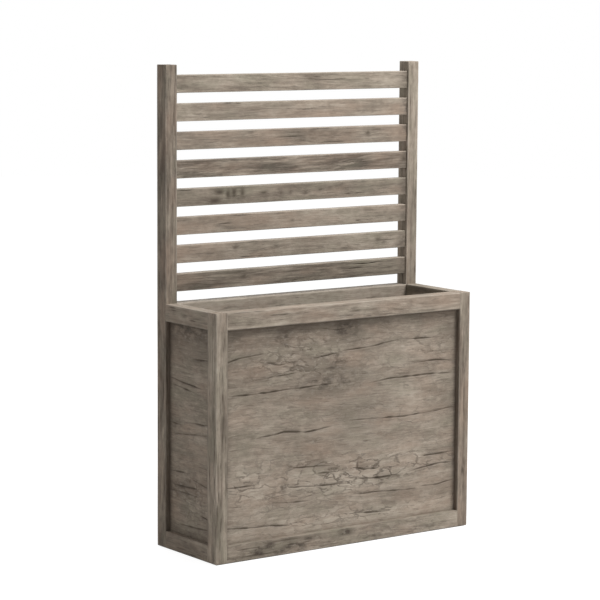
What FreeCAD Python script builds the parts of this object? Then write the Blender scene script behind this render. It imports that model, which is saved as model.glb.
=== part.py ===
import FreeCAD, Part
import os

from FreeCAD import Vector

# Divider planter: a frame-and-panel trough on four corner posts, with the two back posts
# carried up to hold a screen of level slats. X is the width, +Y the back, +Z up, and the
# origin lies on the floor under the middle of the object. All sizes are in millimetres.

# Overall sizes
overall_width = 914.0
overall_depth = 305.0
overall_height = 1391.0
rim_height = 712.0

# Frame stock: posts stand with the wide face to the side, and rails are flush with their outer faces
stock_face = 46.0
stock_edge = 40.0
rail_height = 50.0
rail_thickness = 28.0
edge_ease = 1.8
end_ease = 1.2

# Panels, which float in grooves of the posts and rails
panel_thickness = 10.0
panel_recess = 15.0
groove_depth = 10.0
panel_play = 1.0

# Joinery
tenon_thickness = 12.0
slat_tenon_shoulder = 8.0
slat_tenon_length = 15.0
side_tenon_length = 15.0
mortise_relief = 1.0
tenon_web = 0.6

# Screen slats between the back posts
slat_count = 8
slat_gap = 28.9
slat_thickness = 25.0
slat_top_drop = 28.5
slat_rim_gap = 32.0
slat_setback = 5.0

# Slatted floor on two ledgers
floor_slat_count = 8
floor_slat_thickness = 15.0
floor_gap = 8.0
floor_clearance = 0.5
ledger_width = 20.0
ledger_height = 20.0
ledger_rise = 5.0

# Levelling feet: a nylon pad on a steel stem that winds into an insert in the post's end
foot_standing_height = 2.0
foot_pad_radius = 14.0
foot_pad_thickness = 6.0
foot_pad_chamfer = 1.2
foot_pad_seat_gap = 0.3
foot_recess_margin = 1.0
foot_stem_radius = 3.0
foot_stem_height = 20.0
foot_stem_clearance = 0.1
foot_stem_top_room = 2.0
insert_radius = 5.0
insert_length = 10.0

# Overrun of every cutter past the face that it opens
overrun = 1.0

# Places worked out from the sizes above
half_width = overall_width / 2
half_depth = overall_depth / 2
post_base = foot_standing_height
post_inner_x = half_width - stock_edge
post_inner_y = half_depth - stock_face
rail_inner_y = half_depth - rail_thickness
bottom_rail_top = post_base + rail_height
top_rail_bottom = rim_height - rail_height
slat_y = post_inner_y + slat_setback + slat_thickness / 2
slat_field = overall_height - slat_top_drop - slat_rim_gap - rim_height
slat_height = (slat_field - (slat_count - 1) * slat_gap) / slat_count
slat_pitch = slat_height + slat_gap

# The foot's recess, insert and stem bore take up the middle of each post's lower end
foot_recess_depth = foot_pad_thickness - foot_standing_height + foot_pad_seat_gap
insert_top = post_base + foot_recess_depth + insert_length
stem_top = foot_pad_thickness + foot_stem_height
stem_bore_radius = foot_stem_radius + foot_stem_clearance

# Rail tenons stay clear of the insert below, the panel groove and the stem bore
rail_tenon_shoulder = max(foot_recess_depth + insert_length, groove_depth) + tenon_web
wall_tenon_length = stock_edge / 2 - stem_bore_radius - mortise_relief - tenon_web

# Levels of the slatted floor
ledger_base = post_base + ledger_rise
floor_base = ledger_base + ledger_height
floor_top = floor_base + floor_slat_thickness
floor_slat_width = (2 * post_inner_x - (floor_slat_count + 1) * floor_gap) / floor_slat_count

SIDES = {"left": -1, "right": 1}
WALLS = {"front": -1, "back": 1}
LEVELS = ("top", "bottom")


def block(x_ends, y_ends, z_ends):
    """A plain block between two places on each axis, given in either order."""
    low = [min(ends) for ends in (x_ends, y_ends, z_ends)]
    high = [max(ends) for ends in (x_ends, y_ends, z_ends)]
    return Part.makeBox(*[h - l for l, h in zip(low, high)], Vector(*low))


def eased_bar(x_ends, y_ends, z_ends, along):
    """A length of stock: a rectangle with eased corners, extruded along one axis."""
    ends = {"x": sorted(x_ends), "y": sorted(y_ends), "z": sorted(z_ends)}
    across = {"x": ("y", "z"), "y": ("z", "x"), "z": ("x", "y")}[along]
    (u0, u1), (v0, v1) = (ends[axis] for axis in across)
    start, finish = ends[along]

    def place(u, v):
        spot = {across[0]: u, across[1]: v, along: start}
        return Vector(spot["x"], spot["y"], spot["z"])

    centres = [
        (u1 - edge_ease, v0 + edge_ease, -1),
        (u1 - edge_ease, v1 - edge_ease, 0),
        (u0 + edge_ease, v1 - edge_ease, 1),
        (u0 + edge_ease, v0 + edge_ease, 2),
    ]
    diagonal = edge_ease * 0.5**0.5
    turns = [(1, 0), (0, 1), (-1, 0), (0, -1)]
    edges = []
    joints = []
    for u, v, quarter in centres:
        first, last = turns[quarter], turns[quarter + 1]
        begin = place(u + first[0] * edge_ease, v + first[1] * edge_ease)
        middle = place(u + (first[0] + last[0]) * diagonal, v + (first[1] + last[1]) * diagonal)
        end = place(u + last[0] * edge_ease, v + last[1] * edge_ease)
        joints.append((begin, end))
        edges.append(Part.Arc(begin, middle, end).toShape())
    for corner, (begin, end) in enumerate(joints):
        next_begin = joints[(corner + 1) % len(joints)][0]
        edges.append(Part.LineSegment(end, next_begin).toShape())
    profile = Part.Face(Part.Wire(Part.__sortEdges__(edges)))
    direction = {"x": Vector(1, 0, 0), "y": Vector(0, 1, 0), "z": Vector(0, 0, 1)}[along]
    return profile.extrude(direction * (finish - start))


def wall_rail_y(wall):
    """Middle of a front or back rail, which lies flush with the posts' outer faces."""
    return wall * (half_depth - rail_thickness / 2)


def side_rail_x(side):
    """Middle of a side rail, which lies flush with the posts' outer faces too."""
    return side * (half_width - rail_thickness / 2)


def rail_z(level):
    """Lower and upper face of a rail at the rim or at the base."""
    if level == "top":
        return (top_rail_bottom, rim_height)
    return (post_base, bottom_rail_top)


def rail_groove_z(level):
    """The stretch of a rail's panel edge that its groove takes."""
    if level == "top":
        return (top_rail_bottom - overrun, top_rail_bottom + groove_depth)
    return (bottom_rail_top - groove_depth, bottom_rail_top + overrun)


def panel_band(middle_of_face):
    """Both faces of a panel, from the signed place of the wall's outer face."""
    sign = 1 if middle_of_face > 0 else -1
    outer = abs(middle_of_face) - panel_recess
    return (sign * outer, sign * (outer - panel_thickness))


def wall_rail_tenon(side, wall, level, relief):
    """Tenon of a front or back rail in a post, or with relief the mortise for it."""
    z_low, z_high = rail_z(level)
    middle = wall_rail_y(wall)
    return block(
        (side * post_inner_x, side * (post_inner_x + wall_tenon_length + relief)),
        (middle - tenon_thickness / 2, middle + tenon_thickness / 2),
        (z_low + rail_tenon_shoulder, z_high - rail_tenon_shoulder),
    )


def side_rail_tenon(side, wall, level, relief):
    """Tenon of a side rail in a post, or with relief the mortise for it."""
    z_low, z_high = rail_z(level)
    middle = side_rail_x(side)
    return block(
        (middle - tenon_thickness / 2, middle + tenon_thickness / 2),
        (wall * post_inner_y, wall * (post_inner_y + side_tenon_length + relief)),
        (z_low + rail_tenon_shoulder, z_high - rail_tenon_shoulder),
    )


def slat_z(number):
    """Lower and upper edge of a screen slat, counted from the top."""
    top = overall_height - slat_top_drop - number * slat_pitch
    return (top - slat_height, top)


def slat_tenon(side, number, relief):
    """Stub tenon of a screen slat in a back post, or with relief the mortise for it."""
    z_low, z_high = slat_z(number)
    return block(
        (side * post_inner_x, side * (post_inner_x + slat_tenon_length + relief)),
        (slat_y - tenon_thickness / 2, slat_y + tenon_thickness / 2),
        (z_low + slat_tenon_shoulder, z_high - slat_tenon_shoulder),
    )


def foot_axis(side, wall):
    """Middle of a post's end, where its levelling foot stands."""
    return (side * (half_width - stock_edge / 2), wall * (half_depth - stock_face / 2))


def upright(radius, x, y, z_low, z_high):
    """A round bar or bore that stands on end."""
    return Part.makeCylinder(radius, z_high - z_low, Vector(x, y, z_low))


def post(side, wall):
    """A corner post with its mortises, panel grooves and the seat of its foot."""
    top = overall_height if wall > 0 else rim_height
    x_ends = (side * post_inner_x, side * half_width)
    y_ends = (wall * post_inner_y, wall * half_depth)
    shape = eased_bar(x_ends, y_ends, (post_base, top), "z")
    top_edges = [edge for edge in shape.Edges if edge.BoundBox.ZMin > top - end_ease / 2]
    shape = shape.makeFillet(end_ease, top_edges)

    cutters = []
    for level in LEVELS:
        cutters.append(wall_rail_tenon(side, wall, level, mortise_relief))
        cutters.append(side_rail_tenon(side, wall, level, mortise_relief))
    if wall > 0:
        for number in range(slat_count):
            cutters.append(slat_tenon(side, number, mortise_relief))

    groove_z = (bottom_rail_top - groove_depth, top_rail_bottom + groove_depth)
    wall_groove_x = (side * (post_inner_x - overrun), side * (post_inner_x + groove_depth))
    side_groove_y = (wall * (post_inner_y - overrun), wall * (post_inner_y + groove_depth))
    cutters.append(block(wall_groove_x, panel_band(wall * half_depth), groove_z))
    cutters.append(block(panel_band(side * half_width), side_groove_y, groove_z))

    x, y = foot_axis(side, wall)
    recess_top = post_base + foot_recess_depth
    recess_radius = foot_pad_radius + foot_recess_margin
    cutters.append(upright(recess_radius, x, y, post_base - overrun, recess_top))
    cutters.append(upright(insert_radius, x, y, recess_top, insert_top))
    cutters.append(upright(stem_bore_radius, x, y, recess_top, stem_top + foot_stem_top_room))
    return shape.cut(cutters)


def wall_rail(wall, level):
    """A front or back rail, tenoned into two posts and grooved for the panel."""
    middle = wall_rail_y(wall)
    y_ends = (middle - rail_thickness / 2, middle + rail_thickness / 2)
    shape = eased_bar((-post_inner_x, post_inner_x), y_ends, rail_z(level), "x")
    reach = post_inner_x + overrun
    groove = block((-reach, reach), panel_band(wall * half_depth), rail_groove_z(level))
    shape = shape.cut(groove)
    tenons = [wall_rail_tenon(side, wall, level, 0) for side in SIDES.values()]
    return shape.fuse(tenons).removeSplitter()


def side_rail(side, level):
    """A side rail, tenoned into two posts and grooved for the panel."""
    middle = side_rail_x(side)
    x_ends = (middle - rail_thickness / 2, middle + rail_thickness / 2)
    shape = eased_bar(x_ends, (-post_inner_y, post_inner_y), rail_z(level), "y")
    reach = post_inner_y + overrun
    groove = block(panel_band(side * half_width), (-reach, reach), rail_groove_z(level))
    shape = shape.cut(groove)
    tenons = [side_rail_tenon(side, wall, level, 0) for wall in WALLS.values()]
    return shape.fuse(tenons).removeSplitter()


def panel_z():
    """Lower and upper edge of every panel, inside the rails' grooves."""
    hold = groove_depth - panel_play
    return (bottom_rail_top - hold, top_rail_bottom + hold)


def wall_panel(wall):
    """The wide front or back panel."""
    reach = post_inner_x + groove_depth - panel_play
    return block((-reach, reach), panel_band(wall * half_depth), panel_z())


def side_panel(side):
    """The narrow panel at one end."""
    reach = post_inner_y + groove_depth - panel_play
    return block(panel_band(side * half_width), (-reach, reach), panel_z())


def screen_slat(number):
    """One level slat of the screen, with a stub tenon at each end."""
    y_ends = (slat_y - slat_thickness / 2, slat_y + slat_thickness / 2)
    shape = eased_bar((-post_inner_x, post_inner_x), y_ends, slat_z(number), "x")
    tenons = [slat_tenon(side, number, 0) for side in SIDES.values()]
    return shape.fuse(tenons).removeSplitter()


def floor_slat_x(number):
    """Left and right edge of a floor slat, counted from the left."""
    left = -post_inner_x + floor_gap + number * (floor_slat_width + floor_gap)
    return (left, left + floor_slat_width)


def ledger(wall):
    """A strip along a bottom rail that the floor slats rest on."""
    reach = post_inner_x - floor_clearance
    y_ends = (wall * (rail_inner_y - ledger_width), wall * rail_inner_y)
    return block((-reach, reach), y_ends, (ledger_base, floor_base))


def floor_slat(number):
    """One floor slat, laid from the front rail to the back rail with a gap beside it."""
    reach = rail_inner_y - floor_clearance
    return block(floor_slat_x(number), (-reach, reach), (floor_base, floor_top))


def foot_insert(side, wall):
    """The threaded bush in a post's end, shown with a plain bore."""
    x, y = foot_axis(side, wall)
    base = insert_top - insert_length
    bush = upright(insert_radius, x, y, base, insert_top)
    return bush.cut(upright(stem_bore_radius, x, y, base - overrun, insert_top + overrun))


def foot_stem(side, wall):
    """The steel stem that stands on the pad and reaches up through the insert."""
    x, y = foot_axis(side, wall)
    return upright(foot_stem_radius, x, y, foot_pad_thickness, stem_top)


def foot_pad(side, wall):
    """The nylon pad that meets the floor, chamfered round its lower edge."""
    x, y = foot_axis(side, wall)
    shape = upright(foot_pad_radius, x, y, 0, foot_pad_thickness)
    rim = [edge for edge in shape.Edges if edge.BoundBox.ZMax < foot_pad_chamfer]
    return shape.makeChamfer(foot_pad_chamfer, rim)


def build_parts():
    """Every node of the planter by name."""
    parts = {}
    for side_name, side in SIDES.items():
        for wall_name, wall in WALLS.items():
            parts[f"{wall_name}_{side_name}_post"] = post(side, wall)
            parts[f"foot_stem_{wall_name}_{side_name}"] = foot_stem(side, wall)
            parts[f"foot_pad_{wall_name}_{side_name}"] = foot_pad(side, wall)
        for level in LEVELS:
            parts[f"{side_name}_{level}_rail"] = side_rail(side, level)
        parts[f"{side_name}_panel"] = side_panel(side)

    for wall_name, wall in WALLS.items():
        for level in LEVELS:
            parts[f"{wall_name}_{level}_rail"] = wall_rail(wall, level)
        parts[f"{wall_name}_panel"] = wall_panel(wall)
        parts[f"floor_ledger_{wall_name}"] = ledger(wall)

    for number in range(slat_count):
        parts[f"screen_slat_{number + 1}"] = screen_slat(number)
    for number in range(floor_slat_count):
        parts[f"floor_slat_{number + 1}"] = floor_slat(number)

    inserts = [foot_insert(side, wall) for side in SIDES.values() for wall in WALLS.values()]
    parts["foot_inserts"] = Part.makeCompound(inserts)
    return parts


def main():
    """Writes one STEP file for each node."""
    os.makedirs("parts", exist_ok=True)
    for name, shape in build_parts().items():
        solids = shape.Solids
        whole = solids[0] if len(solids) == 1 else Part.makeCompound(solids)
        whole.exportStep(os.path.join("parts", f"{name}.step"))
        valid = all(solid.isValid() and solid.isClosed() for solid in solids)
        volume = sum(solid.Volume for solid in solids)
        print(f"{name}: {len(solids)} solid(s), valid {valid}, {volume:.0f} mm3")


main()
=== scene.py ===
"""Looks of a weathered timber divider planter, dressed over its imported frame."""

from __future__ import annotations

import logging
import math
from dataclasses import dataclass, field
from enum import Enum
from typing import ClassVar

import bmesh
import bpy
import numpy as np
from mathutils import Matrix, Vector
from mathutils.geometry import tessellate_polygon

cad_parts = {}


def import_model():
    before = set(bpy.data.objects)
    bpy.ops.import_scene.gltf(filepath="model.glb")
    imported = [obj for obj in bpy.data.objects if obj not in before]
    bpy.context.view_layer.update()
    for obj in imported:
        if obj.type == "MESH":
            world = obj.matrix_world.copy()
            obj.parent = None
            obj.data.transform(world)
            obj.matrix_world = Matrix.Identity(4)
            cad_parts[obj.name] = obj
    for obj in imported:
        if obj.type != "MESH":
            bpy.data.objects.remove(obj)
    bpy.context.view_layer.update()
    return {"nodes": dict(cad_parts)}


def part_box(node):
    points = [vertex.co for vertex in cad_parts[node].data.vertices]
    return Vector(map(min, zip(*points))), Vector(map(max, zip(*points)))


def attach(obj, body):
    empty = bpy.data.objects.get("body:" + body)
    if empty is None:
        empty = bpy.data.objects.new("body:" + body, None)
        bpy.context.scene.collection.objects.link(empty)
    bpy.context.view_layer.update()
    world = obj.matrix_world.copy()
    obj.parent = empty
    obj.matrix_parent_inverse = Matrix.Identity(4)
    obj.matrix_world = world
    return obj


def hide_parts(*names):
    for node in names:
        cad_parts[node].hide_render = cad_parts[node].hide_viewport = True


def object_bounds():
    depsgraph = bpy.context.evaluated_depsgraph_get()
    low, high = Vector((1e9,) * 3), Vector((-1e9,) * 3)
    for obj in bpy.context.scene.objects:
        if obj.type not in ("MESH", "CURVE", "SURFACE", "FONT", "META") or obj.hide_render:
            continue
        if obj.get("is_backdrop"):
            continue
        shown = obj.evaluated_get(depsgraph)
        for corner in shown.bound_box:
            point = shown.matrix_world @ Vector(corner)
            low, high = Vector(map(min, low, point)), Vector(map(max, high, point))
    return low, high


LOG = logging.getLogger("planter")
Colour = tuple[float, float, float]
Point = tuple[float, float]
Socket = bpy.types.NodeSocket
Sockets = bpy.types.bpy_prop_collection


class Axis(Enum):
    """An axis of the frame."""

    X = 0
    Y = 1
    Z = 2


class Side(Enum):
    """A long side of a board, in the order in which its section is walked."""

    LOW = 0
    TOP = 1
    HIGH = 2
    BOTTOM = 3


class Wall(Enum):
    """A wall of the trough."""

    FRONT = "front"
    BACK = "back"
    LEFT = "left"
    RIGHT = "right"

    @property
    def run(self) -> Axis:
        """The axis that the wall runs along."""
        return Axis.X if self in (Wall.FRONT, Wall.BACK) else Axis.Y

    @property
    def through(self) -> Axis:
        """The axis that leads through the wall."""
        return Axis.Y if self.run is Axis.X else Axis.X

    @property
    def faces(self) -> tuple[Side, Side]:
        """The outer and the inner side of the wall's boards."""
        return (Side.LOW, Side.HIGH) if self in (Wall.FRONT, Wall.LEFT) else (Side.HIGH, Side.LOW)


class Level(Enum):
    """A rail's place in its wall."""

    TOP = "top"
    BOTTOM = "bottom"


class Corner(Enum):
    """A corner of the trough, with its post and its foot."""

    FRONT_LEFT = "front_left"
    FRONT_RIGHT = "front_right"
    BACK_LEFT = "back_left"
    BACK_RIGHT = "back_right"


class Layer(Enum):
    """A noise field of a board, as an offset from the board's seed."""

    RIDGES = 1
    HOLLOWS = 2
    CHIPS = 3
    BEND = 4
    ROUGH = 5
    FLAKES = 6
    WANDER = 9


class Noise:
    """Smooth seeded noise on a lattice, the same on every run."""

    SEED_SPREAD = 2654435761
    PRIMES = np.array([374761393, 668265263, 2246822519], np.uint32)
    MIXES = ((13, 1274126177), (15, 2246822519))
    LAST_SHIFT = 16
    OCTAVE_SHIFT = 17.3
    OCTAVE_SUM = 1.6

    def __init__(self, seed: int) -> None:
        """Keeps the seed, which says which of the fields this one is."""
        self.seed = np.uint32((seed * self.SEED_SPREAD) % 2**32)

    def _corner(self, cell: np.ndarray) -> np.ndarray:
        """Lattice values from 0 to 1.

        Args:
            cell: Whole-number places of shape (n, 3).

        Returns:
            One value for each place.
        """
        parts = cell.astype(np.int64).astype(np.uint32) * self.PRIMES
        mixed = parts[:, 0] ^ parts[:, 1] ^ parts[:, 2] ^ self.seed
        for shift, factor in self.MIXES:
            mixed = (mixed ^ (mixed >> np.uint32(shift))) * np.uint32(factor)
        return (mixed ^ (mixed >> np.uint32(self.LAST_SHIFT))).astype(np.float64) / 2**32

    def at(self, points: np.ndarray) -> np.ndarray:
        """Values from -1 to 1.

        Args:
            points: Places in lattice units, of shape (n, 3).

        Returns:
            One value for each point.
        """
        cell = np.floor(points)
        part = points - cell
        part = part * part * (3 - 2 * part)
        total = np.zeros(len(points))
        for corner in np.ndindex(2, 2, 2):
            share = np.prod(np.where(np.array(corner), part, 1 - part), axis=1)
            total += share * self._corner(cell + np.array(corner))
        return 2 * total - 1

    def fractal(self, points: np.ndarray, octaves: int = 3) -> np.ndarray:
        """Several octaves of the field added up.

        Args:
            points: Places in lattice units, of shape (n, 3).
            octaves: How many octaves.

        Returns:
            Values from about -1 to 1.
        """
        total = np.zeros(len(points))
        for octave in range(octaves):
            total += self.at(points * 2**octave + self.OCTAVE_SHIFT * octave) / 2**octave
        return total / self.OCTAVE_SUM

    def grained(self, local: np.ndarray, scale: Point, octaves: int = 3) -> np.ndarray:
        """The octaves at a board's own places, scaled along and across its grain."""
        return self.fractal(local * np.array([scale[0], scale[1], scale[1]]), octaves)


@dataclass(frozen=True)
class Crack:
    """A drying check that follows the grain on one side of a board.

    Points are (share of the length, share of the side's width from its top or far edge).
    """

    points: tuple[Point, ...]
    width: float = 0.0040
    depth: float = 0.0024

    SWAY_SCALE: ClassVar[float] = 22.0
    SWAY_STEP: ClassVar[float] = 3.7
    SWAY_REACH: ClassVar[float] = 0.0022
    TAPER: ClassVar[float] = 0.45
    SWELL: ClassVar[Point] = (0.70, 0.40)
    SWELL_SCALE: ClassVar[float] = 2.3
    SWELL_SHIFT: ClassVar[float] = 40.0
    LEAST_HALF: ClassVar[float] = 1e-5
    SOFTNESS: ClassVar[float] = 1.45
    FULLNESS: ClassVar[float] = 1.2
    HALO: ClassVar[float] = 0.40
    HALO_WIDTHS: ClassVar[float] = 2.2

    def course(
        self, share: np.ndarray, length: float, width: float, wander: Noise, number: int
    ) -> tuple[np.ndarray, np.ndarray]:
        """Follows the check along its board.

        Args:
            share: Shares of the board's length.
            length: The board's length.
            width: The side's width.
            wander: The field that makes checks wander.
            number: Which check of its side this is.

        Returns:
            How far across the side it lies and how wide it swells at each share.
        """
        path = np.array(self.points)
        steps = np.full(len(share), number * self.SWAY_STEP)
        sway = np.column_stack([share * length * self.SWAY_SCALE, steps, np.zeros(len(share))])
        centre = np.interp(share, path[:, 0], path[:, 1]) * width + self.SWAY_REACH * wander.fractal(sway)
        reach = (share - path[0, 0]) / (path[-1, 0] - path[0, 0])
        swell = np.clip(4 * reach * (1 - reach), 0, 1) ** self.TAPER
        mean, spread = self.SWELL
        return centre, swell * (mean + spread * wander.at(sway * self.SWELL_SCALE + self.SWELL_SHIFT))

    def opening(self, off: np.ndarray, swell: np.ndarray) -> tuple[np.ndarray, np.ndarray]:
        """Args:
            off: Distances from the check's middle.
            swell: How wide it swells there.

        Returns:
            Shares of the check's depth, and of a full stain.
        """
        half = np.maximum(self.width * swell / 2, self.LEAST_HALF)
        hit = np.clip(self.SOFTNESS - off / half, 0, 1) * np.clip(swell * self.FULLNESS, 0, 1)
        return hit, self.HALO * np.exp(-((off / (self.HALO_WIDTHS * self.width)) ** 2)) * swell


@dataclass(frozen=True)
class Patch:
    """An oval patch on a board's face: its middle in shares, its reach in metres."""

    along: float
    down: float
    reach: float = 0.017
    rise: float = 0.010
    amount: float = 0.8


@dataclass(frozen=True)
class Tint:
    """How one board differs from its neighbours, at its low and its high end."""

    tone: Point = (0.0, 0.0)
    hue: Point = (0.0, 0.0)
    streak: float = 1.0


@dataclass(frozen=True)
class Seeds:
    """Seeds of a row of boards: the first board's, the step to the next, the first arrangement's."""

    first: int
    step: int
    strewn: int = 0

    def board(self, number: int) -> int:
        """The seed of one board."""
        return self.first + self.step * number

    def arrangement(self, number: int) -> Strewn:
        """The arrangement of one board's checks and stains."""
        return Strewn(self.strewn + number)


@dataclass(frozen=True)
class Timber:
    """A timber finish: the colours that the grain is mixed from."""

    name: str
    slot: str
    dark: Colour
    middle: Colour
    light: Colour
    olive: Colour
    rose: Colour
    silver: Colour


@dataclass(frozen=True)
class Speckled:
    """A plain finish with fine speckle, for metal and plastic."""

    name: str
    slot: str
    low: Colour
    high: Colour
    scale: float
    metallic: float
    roughness: float


WEATHERED = Timber(
    name="weathered_timber",
    slot="weathered_wood",
    dark=(0.086, 0.069, 0.054),
    middle=(0.240, 0.199, 0.157),
    light=(0.430, 0.371, 0.304),
    olive=(0.226, 0.218, 0.160),
    rose=(0.318, 0.224, 0.166),
    silver=(0.440, 0.392, 0.334),
)
INSIDE = Timber(
    name="inside_timber",
    slot="inside_wood",
    dark=(0.110, 0.080, 0.055),
    middle=(0.235, 0.180, 0.128),
    light=(0.350, 0.285, 0.215),
    olive=(0.215, 0.190, 0.125),
    rose=(0.270, 0.180, 0.120),
    silver=(0.330, 0.275, 0.220),
)
ZINC = Speckled(
    name="zinc_plate",
    slot="zinc_steel",
    low=(0.40, 0.41, 0.42),
    high=(0.66, 0.67, 0.68),
    scale=900.0,
    metallic=1.0,
    roughness=0.36,
)
NYLON = Speckled(
    name="black_nylon",
    slot="nylon",
    low=(0.012, 0.012, 0.013),
    high=(0.030, 0.030, 0.031),
    scale=1400.0,
    metallic=0.0,
    roughness=0.52,
)


@dataclass(frozen=True)
class Weave:
    """A noise texture: scales along and across the grain, shift, detail, roughness, and its ramp if any."""

    along: float
    across: float
    shift: float
    detail: float
    rough: float = 0.6
    ramp: Point | None = None


class NodeKit:
    """Short ways to add and join shader nodes in one tree."""

    def __init__(self, tree: bpy.types.NodeTree) -> None:
        """Keeps the tree that nodes are added to."""
        self.tree = tree

    @classmethod
    def fresh(cls, owner: bpy.types.Material | bpy.types.World) -> NodeKit:
        """Empties the tree of a material or a world.

        Args:
            owner: The material or the world.

        Returns:
            A kit for its tree.
        """
        owner.use_nodes = True
        owner.node_tree.nodes.clear()
        return cls(owner.node_tree)

    def add(self, kind: str, settings: dict | None = None, **inputs: object) -> bpy.types.Node:
        """Adds a node, sets its properties and fills or links its inputs.

        Args:
            kind: The node's type name.
            settings: Properties to set on the node first.
            **inputs: Input names with spaces as underscores, or i0, i1 for places.

        Returns:
            The new node.
        """
        node = self.tree.nodes.new(kind)
        for name, value in (settings or {}).items():
            setattr(node, name, value)
        for name, value in inputs.items():
            place = name[1:].isdigit() and name[0] == "i"
            socket = node.inputs[int(name[1:])] if place else node.inputs[name.replace("_", " ")]
            if isinstance(value, Socket):
                self.tree.links.new(value, socket)
            else:
                socket.default_value = value
        return node

    def math(self, operation: str, first: object, second: object = 0.0, clamp: bool = False) -> Socket:
        """A Math node's result."""
        node = self.add("ShaderNodeMath", {"operation": operation, "use_clamp": clamp}, i0=first, i1=second)
        return node.outputs[0]

    def line(self, value: object, factor: object, offset: object, clamp: bool = False) -> Socket:
        """The value times a factor plus an offset."""
        settings = {"operation": "MULTIPLY_ADD", "use_clamp": clamp}
        return self.add("ShaderNodeMath", settings, i0=value, i1=factor, i2=offset).outputs[0]

    def mix(self, share: object, first: object, second: object) -> Socket:
        """A colour mix of two colours."""
        settings = {"data_type": "RGBA", "blend_type": "MIX", "clamp_factor": True}
        return self.add("ShaderNodeMix", settings, i0=share, i6=first, i7=second).outputs[2]

    def stretch(self, vector: object, factors: Colour, shift: float = 0.0) -> Socket:
        """A vector scaled on each axis and moved by the same amount on all three."""
        settings = {"operation": "MULTIPLY_ADD"}
        return self.add("ShaderNodeVectorMath", settings, i0=vector, i1=factors, i2=(shift,) * 3).outputs[0]

    def noise(self, vector: object, detail: float, rough: float, scale: object) -> Socket:
        """A noise texture's value."""
        node = self.add("ShaderNodeTexNoise", Vector=vector, Scale=scale, Detail=detail, Roughness=rough)
        return node.outputs[0]

    def woven(self, grain: Socket, weave: Weave) -> bpy.types.Node:
        """A noise texture that is stretched along the grain."""
        place = self.stretch(grain, (weave.along, weave.across, weave.across), weave.shift)
        return self.add(
            "ShaderNodeTexNoise", Vector=place, Scale=1.0, Detail=weave.detail, Roughness=weave.rough
        )

    def cells(self, vector: object, feature: str) -> bpy.types.Node:
        """A cell texture of scale 1."""
        return self.add("ShaderNodeTexVoronoi", {"feature": feature}, Vector=vector, Scale=1.0)

    def ramp(self, value: object, low: float, high: float) -> Socket:
        """A smooth step from 0 at low to 1 at high."""
        settings = {"interpolation_type": "SMOOTHSTEP"}
        return self.add("ShaderNodeMapRange", settings, Value=value, From_Min=low, From_Max=high).outputs[0]


class Paint:
    """A node group that several materials share, and the materials made on it."""

    NAME: ClassVar[str]
    INPUTS: ClassVar[dict[str, str]]
    OUTPUTS: ClassVar[dict[str, str]] = {"Colour": "Color", "Roughness": "Float", "Height": "Float"}
    BUMP: ClassVar[dict[str, float]]

    def __init__(self) -> None:
        """Makes the group."""
        self.group = bpy.data.node_groups.new(self.NAME, "ShaderNodeTree")
        for way, sockets in (("INPUT", self.INPUTS), ("OUTPUT", self.OUTPUTS)):
            for name, kind in sockets.items():
                self.group.interface.new_socket(name, in_out=way, socket_type=f"NodeSocket{kind}")
        kit = NodeKit(self.group)
        kit.add("NodeGroupOutput", **self._painted(kit, kit.add("NodeGroupInput").outputs))

    def _painted(self, kit: NodeKit, given: Sockets) -> dict[str, Socket]:
        """The group's outputs by name."""
        raise NotImplementedError

    def _inputs(self, kit: NodeKit, finish: Timber | Speckled) -> dict[str, object]:
        """What a finish's material gives to the group, by input name."""
        raise NotImplementedError

    def _gloss(self, finish: Timber | Speckled) -> dict[str, float]:
        """A finish's constants on the shader's own sockets."""
        raise NotImplementedError

    def make(self, finish: Timber | Speckled) -> bpy.types.Material:
        """Makes a finish's material.

        Args:
            finish: The finish.

        Returns:
            The material.
        """
        material = bpy.data.materials.new(finish.name)
        kit = NodeKit.fresh(material)
        settings = {"node_tree": self.group}
        painted = kit.add("ShaderNodeGroup", settings, **self._inputs(kit, finish)).outputs
        bump = kit.add("ShaderNodeBump", Height=painted["Height"], **self.BUMP)
        shader = kit.add(
            "ShaderNodeBsdfPrincipled",
            Base_Color=painted["Colour"],
            Roughness=painted["Roughness"],
            Normal=bump.outputs["Normal"],
            **self._gloss(finish),
        )
        kit.add("ShaderNodeOutputMaterial", Surface=shader.outputs["BSDF"])
        return material


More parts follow.
